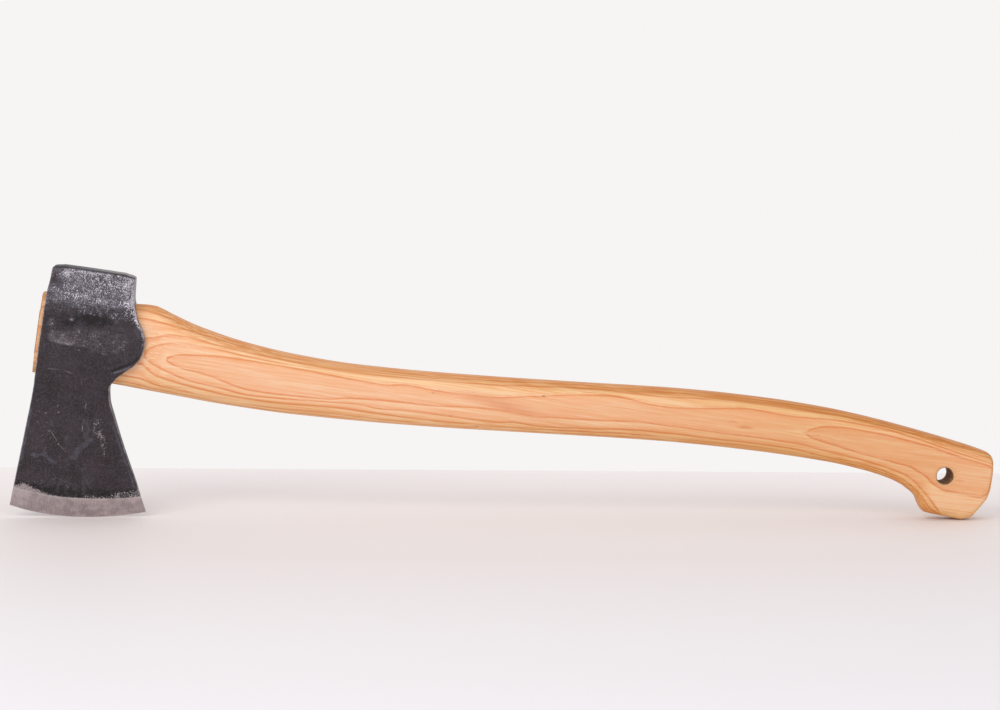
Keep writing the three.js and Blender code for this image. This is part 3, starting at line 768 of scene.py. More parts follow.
KERF_REACH = 50                   # the kerf's cutter ends this far above and below the eye frame's middle
WEDGE_REACH = 40                  # and so does the wooden wedge's blank, before it is trimmed
WEDGE_ROWS = 60
WEDGE_RINGS_FROM = 3              # past the tongue's rounded end, where plain rings start
STEEL_ROUND = 0.18                # radius on the steel wedge's edges


def wedge_half_at(x):
    k = (x - TIP_X) / (KERF_DEPTH - WEDGE_CLEAR)
    return WEDGE_TIP_HALF + (WEDGE_TOE_HALF - WEDGE_TIP_HALF) * k


def taper(name, x0, x1, half0, half1, z0, z1, steps):
    """Wedge-shaped block that narrows along +x, with extra rows along z for shaping."""
    zs = np.linspace(z0, z1, steps)
    points = []
    for z in zs:
        points.extend([(x0, -half0, z), (x1, -half1, z), (x1, half1, z), (x0, half0, z)])
    return outward(make_object(name, points, solid_faces(len(zs), 4)))


def kerf_cutter():
    x0 = TIP_X - OUT
    x1 = TIP_X + KERF_DEPTH
    return taper("kerf_cutter", x0, x1, wedge_half_at(x0) + FIT, wedge_half_at(x1) + FIT,
                 -KERF_REACH, KERF_REACH, 2)


def rows_curve(knots, values, x):
    """Monotone cubic through its own knots for each row; flat beyond the first and the last."""
    gap = np.diff(knots, axis=1)
    tangent = np.zeros_like(knots)
    tangent[:, 1:-1] = inner_slopes(np.diff(values, axis=1) / gap)
    t = np.clip(x, knots[:, 0], knots[:, -1])
    i = np.clip((t[:, None] >= knots[:, :-1]).sum(1) - 1, 0, knots.shape[1] - 2)
    row = np.arange(len(x))
    h = gap[row, i]
    k = (t - knots[row, i]) / h
    return cubic(k, h, (values[row, i], values[row, i + 1]), (tangent[row, i], tangent[row, i + 1]))


FACE_LIMIT = 0.85                 # beyond this share of the way up or down, the face counts as level
FACE_FADE = 5.0                   # and its depth fades over this distance off the stick


def face_depth(x, z):
    """How deep the near face lies at z below its widest place, in rings; fades to 0 off the stick."""
    top = haft_top(x)
    bottom = haft_bottom(x)
    t = np.clip(np.abs(2 * z - top - bottom) / (top - bottom), 0, FACE_LIMIT)
    power = haft_power(x)
    off = smooth(np.abs(z - (top + bottom) / 2) - (top - bottom) / 2, 0, FACE_FADE)
    return haft_half(x) * (1 - (1 - t ** power) ** (1 / power)) / RING * (1 - off)


def ring_field(p):
    """Growth rings as a solid field, so that every cut through the wood agrees with the face."""
    x, y, z = p[:, 0], p[:, 1], p[:, 2]
    middle = curve(RING_MIDDLE)(x)
    peak = curve(RING_DEPTH)(x)
    knots = [middle]
    values = [peak]
    for step, (upper, lower) in enumerate(reversed(RING_LINES)):
        before = x < upper[0][0]
        count = np.minimum(len(RING_LINES) + 1.0 - step, peak)
        high = np.maximum(np.where(before, -np.inf, curve(upper)(x)), knots[-1] + 0.05)
        low = np.minimum(np.where(before, np.inf, curve(lower)(x)), knots[0] - 0.05)
        knots = [low] + knots + [high]
        values = [count + face_depth(x, low)] + values + [count + face_depth(x, high)]
    knots = np.stack(knots, 1)
    inner = rows_curve(knots, np.stack(values, 1), z)
    beyond = np.maximum(z - knots[:, -1], knots[:, 0] - z)
    return inner - RING_FALL * np.clip(beyond, 0, None) - (y + haft_half(x)) / RING


def ring_spacing(p, n):
    """How many rings pass per millimetre along the surface."""
    step = 0.2
    here = ring_field(p)
    gradient = np.stack([ring_field(p + step * axis) - here for axis in np.eye(3)], 1) / step
    along = gradient - n * (gradient * n).sum(1)[:, None]
    return np.maximum(np.linalg.norm(along, axis=1), 0.004)


def ring_count(p):
    """The rings, with a little unevenness on the near side and more of it on the far side."""
    small = 0.035 * wave(p, (22, 6, 3), 7) + 0.02 * wave(p, (7, 4, 2), 8)
    far = smooth(p[:, 1], -3, 9) * (0.9 * wave(p, (95, 14, 26), 5) + 0.25 * wave(p, (30, 8, 9), 6))
    return ring_field(p) + small + far


def plain_wood(p):
    """Where the face shows one pale band of wood: between the bold line and the one above it."""
    x, z = p[:, 0], p[:, 2]
    over = smooth(z - curve(BOLD_LINE)(x), 0.7, 1.3)
    under = smooth(curve(RING_LINES[0][0])(x) - z, 0.3, 0.9)
    return over * under * smooth(x, 108, 135) * smooth(-p[:, 1], 0, 3)


def pale_sole(p):
    """The knob's sole, below the innermost ring line: one pale band too."""
    x, z = p[:, 0], p[:, 2]
    over = smooth(z - curve(RING_LINES[2][1])(x), 0.7, 1.7)
    under = smooth(curve(RING_LINES[3][1])(x) - z, 0.3, 1.2)
    return over * under * smooth(x, 548, 558) * smooth(-p[:, 1], 0, 3)


def grain_shadow(p):
    u = (p[:, 0] - SHADOW_MID[0]) / SHADOW_SIZE[0]
    v = (p[:, 2] - SHADOW_MID[1] - SHADOW_SLOPE * (p[:, 0] - SHADOW_MID[0])) / SHADOW_SIZE[1]
    return np.exp(-u * u - v * v) * smooth(-p[:, 1], 0, 3)


def build_haft():
    obj = oval_solid("haft_wood", haft_sections())
    combine(obj, hole_cutter(), "DIFFERENCE")
    combine(obj, kerf_cutter(), "DIFFERENCE")
    p = points_of(obj)
    store(obj, "rings", ring_count(p))
    store(obj, "ring_slope", ring_spacing(p, normals_of(obj)))
    sole = pale_sole(p)
    store(obj, "oiled", curve(OILED)(p[:, 0]) * (1 - 0.6 * sole))
    store(obj, "plain", np.maximum(plain_wood(p), sole))
    store(obj, "shadow", grain_shadow(p))
    store(obj, "from_hole", np.hypot(p[:, 0] - HOLE_X, p[:, 2] - HOLE_Z))
    store(obj, "cut_end", 1 - smooth(p[:, 0], TIP_X + 0.5, TIP_X + 0.9))
    store_vector(obj, "eye_mm", p)
    return finish_piece(obj, "haft", hickory(), 40)


# ----------------------------------------------------------------------------------- the wedges

def steel_blank(name, grow):
    """A crown with three short legs in a slim taper. Grown, it starts outside: its own cutter."""
    face = TIP_X - STEEL_PROUD
    start = face - OUT if grow else face
    base = face + STEEL_DEPTH + grow
    root = base - STEEL_NOTCH
    half = STEEL_HEIGHT / 2 + grow
    inner = half - STEEL_LEG - 2 * grow
    middle = STEEL_LEG / 2 + grow
    upper = [(base, middle), (root, middle + STEEL_SPLAY), (root, inner - STEEL_SPLAY),
             (base, inner), (base, half), (start, half)]
    outline = [(x, -z) for x, z in reversed(upper)] + upper
    slope = (STEEL_CROWN - STEEL_TOE) / STEEL_DEPTH
    points = [(x, side * (STEEL_CROWN + grow - slope * (x - face)), EYE_MID_Z + z)
              for side in (-1, 1) for x, z in outline]
    return outward(make_object(name, points, solid_faces(2, len(outline))))


def round_off(obj, width, segments):
    """Rounds every edge, for good."""
    modifier = obj.modifiers.new("round", "BEVEL")
    modifier.width = width
    modifier.segments = segments
    modifier.limit_method = "ANGLE"
    modifier.angle_limit = math.radians(35)
    apply_modifiers(obj)


def build_wooden_wedge():
    x0 = TIP_X - OUT
    x1 = TIP_X + KERF_DEPTH - WEDGE_CLEAR
    obj = taper("wedge_wood", x0, x1, wedge_half_at(x0), wedge_half_at(x1), -WEDGE_REACH,
                WEDGE_REACH, WEDGE_ROWS)
    rings = [ring - np.array([WOOD_PROUD, 0, 0]) for ring in tip_rings()]
    rings += [upright(x, WOOD_TOP, WOOD_BOTTOM, haft_half(x), EYE_POWER, HAFT_ROUND)
              for x in np.linspace(TIP_X + WEDGE_RINGS_FROM, TIP_X + KERF_DEPTH, 12)]
    combine(obj, oval_solid("oval", rings), "INTERSECT")
    combine(obj, steel_blank("steel_slot", FIT), "DIFFERENCE")
    p = points_of(obj)
    store(obj, "rings", p[:, 1] / 1.3 + 0.25 * wave(p, (30, 6, 10), 9) + p[:, 2] * 0.02)
    store(obj, "ring_slope", np.full(len(p), 0.7))
    store(obj, "plain", np.zeros(len(p)))
    store(obj, "cut_end", 1 - smooth(p[:, 0], TIP_X + 0.3, TIP_X + 0.7))
    store_vector(obj, "eye_mm", p)
    return finish_piece(obj, "wooden_wedge", wedge_wood(), 30)


def build_steel_wedge():
    obj = steel_blank("steel_crown", 0)
    round_off(obj, STEEL_ROUND, 2)
    store_vector(obj, "eye_mm", points_of(obj))
    return finish_piece(obj, "steel_wedge", wedge_steel(), 30)


# ------------------------------------------------------------------------------- shader helpers

class Nodes:
    """Short-hand for building a node tree."""

    def __init__(self, tree):
        self.tree = tree
        tree.nodes.clear()

    def feed(self, node, name, value):
        """Gives an input, by its name or number, another node's output or a plain value."""
        if isinstance(value, bpy.types.NodeSocket):
            self.tree.links.new(value, node.inputs[name])
        else:
            node.inputs[name].default_value = value

    def node(self, kind, inputs=(), **settings):
        """New node with its settings. Its inputs come as pairs of a name or number and a value."""
        node = self.tree.nodes.new("ShaderNode" + kind)
        for name, value in settings.items():
            setattr(node, name, value)
        for name, value in inputs:
            self.feed(node, name, value)
        return node

    def value(self, name):
        return self.node("Attribute", attribute_name=name).outputs["Fac"]

    def vector(self, name):
        return self.node("Attribute", attribute_name=name).outputs["Vector"]

    def split(self, vector):
        """Outputs X, Y and Z of a vector."""
        return self.node("SeparateXYZ", [(0, vector)]).outputs

    def stretch(self, vector, scale):
        return self.node("Mapping", [("Vector", vector), ("Scale", scale)]).outputs[0]

    def noise(self, vector, scale, detail=2.0, rough=0.5):
        inputs = [("Vector", vector), ("Scale", scale), ("Detail", detail), ("Roughness", rough)]
        return self.node("TexNoise", inputs).outputs["Fac"]

    def math(self, operation, *values):
        return self.node("Math", enumerate(values), operation=operation).outputs[0]

    def add(self, a, b):
        return self.math("ADD", a, b)

    def minus(self, a, b):
        return self.math("SUBTRACT", a, b)

    def mul(self, a, b):
        return self.math("MULTIPLY", a, b)

    def absolute(self, value):
        return self.math("ABSOLUTE", value)

    def ramp(self, value, low, high, to_low=0.0, to_high=1.0, kind="SMOOTHSTEP"):
        inputs = [("Value", value), ("From Min", low), ("From Max", high), ("To Min", to_low),
                  ("To Max", to_high)]
        return self.node("MapRange", inputs, interpolation_type=kind).outputs["Result"]

    def colours(self, value, stops):
        node = self.node("ValToRGB", [(0, value)])
        elements = node.color_ramp.elements
        while len(elements) < len(stops):
            elements.new(0.5)
        for element, (position, colour) in zip(elements, stops):
            element.position = position
            element.color = (*colour, 1)
        return node.outputs[0]

    def mix(self, share, a, b, mode="MIX"):
        """Goes from colour a to colour b; each is a node's output or a plain colour."""
        a, b = (v if isinstance(v, bpy.types.NodeSocket) else (*v, 1) for v in (a, b))
        inputs = [("Factor", share), (6, a), (7, b)]
        return self.node("Mix", inputs, data_type="RGBA", blend_type=mode).outputs[2]

    def patch(self, vector, centre, size, slant=0.0):
        """Soft spot at a centre (mm in the eye's frame), turned by slant in the blade's plane."""
        move = self.node("Mapping", [("Vector", vector), ("Location", tuple(-c for c in centre))])
        turn = self.node("Mapping", [("Vector", move.outputs[0]),
                                     ("Rotation", (0, math.radians(slant), 0))])
        scaled = self.stretch(turn.outputs[0], tuple(1 / v for v in size))
        away = self.node("VectorMath", [(0, scaled)], operation="LENGTH")
        return self.ramp(away.outputs["Value"], 1.0, 0.2)

    def bump(self, height, strength, distance):
        inputs = [("Strength", strength), ("Distance", distance), ("Height", height)]
        return self.node("Bump", inputs).outputs[0]


class Shader(Nodes):
    """Short-hand for building one material."""

    def __init__(self, name):
        self.material = bpy.data.materials.new(name)
        self.material.use_nodes = True
        super().__init__(self.material.node_tree)
        self.surface = self.node("BsdfPrincipled")
        self.node("OutputMaterial", [("Surface", self.surface.outputs[0])])

    def finish(self, colour, roughness, normal, **others):
        self.feed(self.surface, "Base Color", colour)
        self.feed(self.surface, "Roughness", roughness)
        self.feed(self.surface, "Normal", normal)
        for name, value in others.items():
            self.feed(self.surface, name.replace("_", " "), value)
        return self.material


# ------------------------------------------------------------------------------------ materials

SCALE_DARK = (0.0185, 0.0110, 0.0135)
SCALE_MID = (0.0335, 0.0218, 0.0265)
SCALE_BLUE = (0.0340, 0.0310, 0.0410)
# the darkest scale, also used as painted shade
DARKEST_SCALE_AND_SHADE = (0.0085, 0.0060, 0.0070)
FILM_AND_SHEEN = (0.142, 0.133, 0.163)
CHEEK_FILM_AND_SHEEN = (0.142, 0.120, 0.132)
SMEAR_AND_SHEEN = (0.086, 0.086, 0.108)
WORN = (0.65, 0.62, 0.69)
WORN_CHEEK = (0.42, 0.385, 0.41)
# The poll's struck face, coloured as a painted reflection: painted shade along the near arris, then painted
# highlight growing lighter to the far side and the rear.
CAP_NEAR_SHADE = (0.034, 0.030, 0.032)
CAP_FRONT_REFLECTION = (0.115, 0.108, 0.115)
CAP_REAR_REFLECTION = (0.34, 0.32, 0.32)
GROUND = (0.29, 0.242, 0.248)
GROUND_LIGHT = (0.55, 0.462, 0.472)
RUST = (0.23, 0.07, 0.03)
# bright line on the arrises: partly rubbed wear, partly painted highlight
ARRIS_WEAR_AND_HIGHLIGHT = (0.45, 0.42, 0.43)
SCRATCH = (0.36, 0.31, 0.31)
BEVEL_LIP = (0.60, 0.53, 0.53)
DULL = (0.95, 0.95, 0.95)         # a roughness, as the mixing of colours takes it
MARK_REACH = 9                    # marks reach this far across the piece from a middle on the near side:
SCRATCH_Y = -6
FLECK_Y = -11
FLECK_SLANT = 3
# Scratches on the near side: middle x and z, half length, half width, slant in degrees, strength.
SCRATCHES = [(1.6, -43.5, 3.4, 0.45, 90, 0.6), (1.3, -58.5, 3.2, 0.4, 90, 0.7),
             (-16.5, -65.5, 6.5, 0.35, -52, 0.55), (-9.5, -73.5, 4.5, 0.35, -42, 0.5),
             (-3.4, -98, 2.6, 0.4, -48, 0.6), (-22, -22.4, 8.0, 0.7, 4, 0.8),
             (-12, -23.0, 6.5, 0.7, -13, 0.85), (-3, -28.8, 1.8, 0.4, -50, 0.6),
             (-15, -50.2, 1.0, 0.7, 40, 0.8), (-23, -52, 1.0, 0.5, -70, 0.6),
             (7.5, -9.5, 1.8, 0.4, 62, 0.5), (-12.5, -71, 1.0, 0.6, -50, 0.7)]


def scale_noises(s):
    """What the parts of the steel's look share: the place, the height and the noises."""
    at = s.vector("eye_mm")
    return SimpleNamespace(
        at=at, high=s.ramp(s.value("level"), 8, 16), cloud=s.noise(at, 0.055, 4, 0.6),
        mottle=s.noise(at, 0.13, 3, 0.55), patchy=s.noise(at, 0.28, 4, 0.65),
        grain=s.noise(at, 0.9, 4, 0.65), fine=s.noise(at, 2.6, 3, 0.6), crumbs=s.noise(at, 1.46, 1, 0.5))


def forge_scale(s, n):
    """Dark scale with bluish clouds, a thin lighter film that is partly painted sheen, smears with some
    painted sheen, and the darkest scale with painted shade in the hollow and the lug's crease.
    """
    colour = s.mix(s.ramp(n.cloud, 0.3, 0.72), SCALE_DARK, SCALE_MID)
    colour = s.mix(s.mul(s.ramp(n.mottle, 0.48, 0.68), 0.45), colour, SCALE_BLUE)
    colour = s.mix(s.mul(s.ramp(n.grain, 0.42, 0.72), 0.3), colour, FILM_AND_SHEEN)
    rubs = s.noise(s.stretch(n.at, (0.22, 1.0, 2.0)), 1, 3, 0.7)
    film_and_sheen_share = s.add(s.mul(n.patchy, 0.35), s.add(s.mul(n.grain, 0.2), s.mul(rubs, 0.45)))
    # lighter film: partly rubbed scale, partly painted sheen on the cheek's swell
    film_and_sheen_share = s.ramp(s.add(film_and_sheen_share, s.mul(s.value("film_and_sheen"), 0.42)), 0.58, 0.88)
    colour = s.mix(s.mul(film_and_sheen_share, 0.7), colour, s.mix(n.high, CHEEK_FILM_AND_SHEEN, FILM_AND_SHEEN))
    ragged = s.add(s.mul(n.patchy, 0.7), s.mul(n.grain, 0.45))
    # blue-grey smears, some of them painted sheen beside the eye
    smear_and_sheen = s.ramp(s.add(s.value("smears_and_sheen"), s.mul(s.minus(ragged, 0.57), 2.2)), 0.1, 1.15)
    colour = s.mix(s.mul(smear_and_sheen, 0.68), colour, SMEAR_AND_SHEEN)
    # darkest scale, with painted shade in the hollow over the eye and along the lug's crease
    dark_scale_and_shade_here = s.value("dark_scale_and_shade")
    darkest_and_shade = s.ramp(s.add(dark_scale_and_shade_here, s.mul(s.minus(0.56, ragged), 2.6)), 0.25, 0.85)
    return s.mix(s.mul(darkest_and_shade, s.ramp(dark_scale_and_shade_here, 0.05, 0.5, 0.0, 0.95)), colour, DARKEST_SCALE_AND_SHADE)


def add_specks(s, n, colour):
    """Worn light specks, as thick as the stored wear says, some brighter than others; then the painted
    highlight beside the lug's crease.
    """
    dots = s.add(s.mul(n.crumbs, 0.55), s.add(s.mul(n.fine, 0.2), s.mul(n.patchy, 0.25)))
    limit = s.ramp(s.value("specks"), 0, 1, 0.69, 0.45, "LINEAR")
    bright = s.ramp(s.minus(dots, limit), 0.005, 0.05)
    worn = s.mix(n.high, WORN_CHEEK, WORN)
    colour = s.mix(s.mul(bright, s.ramp(n.mottle, 0.35, 0.65, 0.5, 1.0)), colour, worn)
    # painted highlight beside the lug's rolled lower edge
    shine = s.mul(s.value("lug_highlight"), s.ramp(n.grain, 0.35, 0.55, 0.3, 0.7))
    return s.mix(shine, colour, FILM_AND_SHEEN), bright


def add_arrises(s, n, colour, on_top):
    """The poll's struck face, coloured as a painted reflection, and a bright line on the arrises that is
    partly rubbed wear and partly painted highlight.
    """
    # bright line along the arrises: partly rubbed wear, partly painted highlight
    arris_wear_and_highlight = s.ramp(s.add(s.value("rim"), s.mul(n.grain, 1.1)), 1.3, 0.6)
    arris_wear_and_highlight = s.mul(arris_wear_and_highlight, s.ramp(n.fine, 0.3, 0.6, 0.3, 0.9))
    arris_wear_and_highlight = s.mul(arris_wear_and_highlight, s.ramp(n.patchy, 0.38, 0.58, 0.35, 1.0))
    across = s.split(n.at)
    # painted reflection on the poll's top face: darker in front and on the near side, brighter to the rear
    cap_reflection = s.mix(s.ramp(across["X"], -20, 24), CAP_FRONT_REFLECTION, CAP_REAR_REFLECTION)
    cap_reflection = s.mix(s.ramp(s.add(across["Y"], s.mul(n.patchy, 4)), -8, 4), CAP_NEAR_SHADE, cap_reflection)
    colour = s.mix(s.mul(on_top, 0.95), colour, cap_reflection)
    return s.mix(s.mul(arris_wear_and_highlight, s.ramp(on_top, 0, 0.5, 1.0, 0.1)), colour, ARRIS_WEAR_AND_HIGHLIGHT)


def add_scratches(s, n, colour):
    """Scratches, and a few rust dots."""
    for x, z, half_length, half_width, slant, strength in SCRATCHES:
        mark = s.patch(n.at, (x, SCRATCH_Y, z), (half_length, MARK_REACH, half_width), slant)
        mark = s.mul(mark, strength)
        colour = s.mix(s.mul(mark, s.ramp(n.fine, 0.35, 0.55, 0.3, 1.0)), colour, SCRATCH)
    rust = s.ramp(s.noise(n.at, 0.62, 1), 0.775, 0.80)
    return s.mix(s.mul(rust, 0.75), colour, RUST)


def add_bevel(s, n, colour):
    """The ground bevel: vertical lines, a lighter upper edge, and bare metal above it at the toe."""
    above = s.value("above_bevel")
    wobble = s.minus(s.add(s.mul(n.patchy, 0.7), s.mul(n.grain, 0.5)), 0.6)
    bevel = s.ramp(s.add(above, wobble), 0.35, -0.25)
    lines = s.noise(s.stretch(n.at, (3.2, 1, 0.10)), 1, 3, 0.7)
    blots = s.noise(s.stretch(n.at, (0.14, 1, 0.10)), 1, 3, 0.6)
    shine = s.add(s.mul(s.ramp(lines, 0.35, 0.65), 0.5), s.mul(s.ramp(blots, 0.35, 0.65), 0.5))
    frosted_here = s.value("frosted")
    bare = s.ramp(s.add(frosted_here, s.mul(s.minus(n.grain, 0.5), 9.0)), -0.6, 1.6)
    bare = s.mul(bare, s.ramp(frosted_here, -1.5, 0.3))
    bare = s.mul(bare, s.ramp(s.add(s.mul(n.fine, 0.5), s.mul(n.crumbs, 0.5)), 0.40, 0.56, 0.38, 0.80))
    colour = s.mix(bare, colour, s.mix(0.3, GROUND_LIGHT, GROUND))
    colour = s.mix(bevel, colour, s.mix(shine, GROUND, GROUND_LIGHT))
    lip = s.ramp(s.absolute(s.add(above, 0.2)), 0.75, 0.1)
    colour = s.mix(s.mul(lip, s.ramp(blots, 0.3, 0.6, 0.15, 0.6)), colour, BEVEL_LIP)
    return colour, bevel, lines


def forged_steel():
    s = Shader("forged_steel")
    n = scale_noises(s)
    on_top = s.value("on_top")
    colour, bright = add_specks(s, n, forge_scale(s, n))
    colour = add_arrises(s, n, colour, on_top)
    colour, bevel, lines = add_bevel(s, n, add_scratches(s, n, colour))

    metal = s.add(s.mul(bevel, 0.65), s.add(s.mul(bright, 0.15), 0.1))
    rough = s.mix(bevel, s.ramp(n.grain, 0.3, 0.7, 0.40, 0.60), s.ramp(lines, 0.3, 0.7, 0.33, 0.45))
    rough = s.mix(on_top, rough, DULL)
    pits = s.add(s.mul(n.grain, 0.7), s.mul(n.fine, 0.5))
    quiet = s.mul(s.minus(1.0, bevel), s.ramp(s.value("level"), -40, 10, 0.4, 1.0))
    height = s.add(s.mul(pits, quiet), s.mul(s.mul(lines, bevel), 0.12))
    height = s.add(height, s.mul(bright, 0.10))
    normal = s.bump(height, 0.6, 0.00055)
    return s.finish(colour, rough, normal, Metallic=metal, IOR=1.5, Specular_IOR_Level=0.35)


WOOD_LINE = (0.75, 0.235, 0.075)
WOOD_PINK = (0.86, 0.44, 0.24)
WOOD_TAN = (0.86, 0.485, 0.28)
WOOD_PALE = (0.89, 0.58, 0.345)
WOOD_STREAK = (0.80, 0.335, 0.125)
WOOD_CREAM = (0.91, 0.67, 0.46)
WOOD_SHADOW = (0.72, 0.30, 0.15)
# golden tint of the back, with painted shade in it
BACK_TINT_AND_SHADE = (0.79, 0.67, 0.51)
BACK_OIL = (0.93, 0.84, 0.60)
BELLY_TINT = (1.0, 0.99, 0.90)
OIL_TINT = (0.88, 0.775, 0.56)
STRAW_DARK = (0.70, 0.32, 0.11)
EDGE_LINE = (0.66, 0.24, 0.075)
STRAW_TINT = (1.0, 0.985, 0.86)
PORE = (0.42, 0.16, 0.055)
END_GRAIN = (0.30, 0.13, 0.05)
WALL_DARK = (0.12, 0.050, 0.022)
WALL_LIGHT = (0.50, 0.28, 0.14)
FLECK_BROWN = (0.36, 0.10, 0.02)
FLECK_ORANGE = (0.68, 0.20, 0.04)
# Knots and pins in the near face: middle x and z, half length, half width, strength, colour.
FLECKS = [(292.5, 3.9, 2.0, 0.9, 0.7, FLECK_BROWN), (221, -3.9, 1.4, 1.0, 0.5, (0.5, 0.25, 0.15)),
          (252.5, -22, 2.4, 1.3, 0.6, FLECK_BROWN), (354, -13.6, 2.0, 0.9, 0.6, FLECK_BROWN),
          (234.6, -17.4, 1.6, 0.8, 0.5, FLECK_BROWN), (426, 20.8, 1.8, 0.9, 0.7, FLECK_BROWN),
          (426.6, 2.1, 8.0, 1.5, 0.5, FLECK_ORANGE), (418, 4.6, 5.0, 1.1, 0.3, FLECK_ORANGE),
          (473.3, -9.1, 1.8, 0.9, 0.6, FLECK_BROWN), (573.5, -13, 5.0, 1.4, 0.3, FLECK_ORANGE)]


def wood_colour(s, at, line, pink, tan, pale, streak, cream):
    """A thin dark line at each ring: pale wood outside it, pinkish wood fading to tan inside it."""
    share = s.math("FRACT", s.add(s.value("rings"), 20.0))
    slope = s.value("ring_slope")
    rest = s.minus(1.0, share)
    inside = s.math("MAXIMUM", s.math("DIVIDE", share, slope), s.mul(share, 2.4))
    outside = s.math("MAXIMUM", s.math("DIVIDE", rest, slope), s.mul(rest, 2.4))
    fibre = s.noise(s.stretch(at, (0.035, 1.6, 1.6)), 1, 4, 0.65)
    broad = s.noise(s.stretch(at, (0.010, 0.11, 0.11)), 1, 3, 0.6)

    colour = s.mix(s.ramp(inside, 7.0, 0.4, 0.0, 0.8), tan, pink)
    colour = s.mix(s.mul(s.ramp(outside, 3.8, 0.3), s.ramp(broad, 0.3, 0.6, 0.5, 0.95)), colour, pale)
    colour = s.mix(s.ramp(broad, 0.45, 0.75, 0.0, 0.45), colour, pink)
    plain = s.value("plain")
    colour = s.mix(s.mul(plain, 0.8), colour, pale)
    near_line = s.math("MAXIMUM", s.ramp(inside, 1.5, 0.1), s.ramp(outside, 0.6, 0.05))
    dark = s.mul(s.mul(near_line, s.ramp(broad, 0.3, 0.7, 0.95, 0.6)), s.minus(1.0, plain))
    colour = s.mix(dark, colour, line)
    strand = s.noise(s.stretch(at, (0.022, 0.8, 0.8)), 1, 3, 0.65)
    grain = s.add(s.mul(fibre, 0.5), s.mul(strand, 0.5))
    colour = s.mix(s.ramp(grain, 0.49, 0.64, 0.0, 0.55), colour, streak)
    colour = s.mix(s.ramp(grain, 0.50, 0.36, 0.0, 0.60), colour, cream)
    return colour, share, fibre, dark


def add_pores(s, at, colour, share):
    """Open pores in the early wood: short dark dashes along the grain."""
    pore = s.noise(s.stretch(at, (0.22, 5.0, 5.0)), 1, 2, 0.6)
    early = s.math("MAXIMUM", s.ramp(share, 0.34, 0.04), s.ramp(share, 0.97, 1.0))
    pores = s.mul(s.ramp(pore, 0.56, 0.68), s.add(s.mul(early, 0.40), 0.08))
    return s.mix(pores, colour, PORE), pores


def add_flecks(s, at, colour):
    for x, z, half_length, half_width, strength, tint in FLECKS:
        mark = s.patch(at, (x, FLECK_Y, z), (half_length, MARK_REACH, half_width), FLECK_SLANT)
        colour = s.mix(s.mul(mark, strength), colour, tint)
    return colour


def add_turning(s, at, colour, dark):
    """More golden where the stick turns over to its back and belly, and towards the grip; the upward-facing
    back also gets painted shade, darker than the belly.
    """
    way = s.split(s.node("NewGeometry").outputs["Normal"])
    facing = s.absolute(way["Y"])
    turned = s.ramp(facing, 0.96, 0.80)
    turning = s.mul(s.ramp(facing, 0.997, 0.94), 0.75)
    straw = s.noise(s.stretch(at, (0.010, 1.7, 0.6)), 1, 2, 0.6)
    fine_straw = s.noise(s.stretch(at, (0.012, 1.2, 1.2)), 1, 2, 0.6)
    colour = s.mix(s.mul(turning, s.ramp(fine_straw, 0.48, 0.62, 0.0, 0.55)), colour, STRAW_DARK)
    colour = s.mix(s.mul(turning, s.ramp(fine_straw, 0.48, 0.36, 0.0, 0.55)), colour, WOOD_CREAM)
    colour = s.mix(turning, colour, STRAW_TINT, "MULTIPLY")
    colour = s.mix(s.mul(turning, dark), colour, EDGE_LINE)
    upper = s.ramp(way["Z"], -0.3, 0.3)
    coarse = s.mul(turned, s.add(0.35, s.mul(upper, 0.65)))
    colour = s.mix(s.mul(coarse, s.ramp(straw, 0.46, 0.60, 0.0, 0.70)), colour, STRAW_DARK)
    colour = s.mix(s.mul(turned, s.ramp(straw, 0.49, 0.38, 0.0, 0.60)), colour, WOOD_CREAM)
    # golden edge tint, with painted shade making the upward-facing back darker than the belly
    colour = s.mix(turned, colour, s.mix(upper, BELLY_TINT, BACK_TINT_AND_SHADE), "MULTIPLY")
    oiled = s.value("oiled")
    colour = s.mix(oiled, colour, OIL_TINT, "MULTIPLY")
    return s.mix(s.mul(oiled, turned), colour, BACK_OIL, "MULTIPLY")


def add_cuts(s, at, colour, fibre):
    """End grain of the tongue, a darker ring round the drill's mouth, and the bore's darker wall. Also
    gives the bore and its ridges.
    """
    dots = s.noise(s.stretch(at, (0.5, 2.4, 2.4)), 1, 3, 0.7)
    end = s.mul(s.value("cut_end"), s.ramp(dots, 0.4, 0.62, 0.35, 0.8))
    colour = s.mix(end, colour, END_GRAIN)
    away = s.value("from_hole")
    mouth = s.ramp(s.absolute(s.minus(away, HOLE_R + 0.9)), 0.9, 0.3)
    colour = s.mix(s.mul(mouth, 0.5), colour, WOOD_PALE)
    mouth_ring_dark = s.ramp(s.absolute(s.minus(away, HOLE_MOUTH_R + 0.5)), 0.6, 0.1)
    colour = s.mix(s.mul(mouth_ring_dark, s.ramp(fibre, 0.3, 0.6, 0.3, 0.7)), colour, STRAW_DARK)
    bore = s.ramp(away, HOLE_R + 0.5, HOLE_R + 0.15)
    turns = s.noise(s.stretch(at, (0.3, 3.2, 0.3)), 1, 3, 0.6)
    wall = s.mix(s.ramp(turns, 0.42, 0.60), WALL_DARK, WALL_LIGHT)
    return s.mix(bore, colour, wall), bore, turns


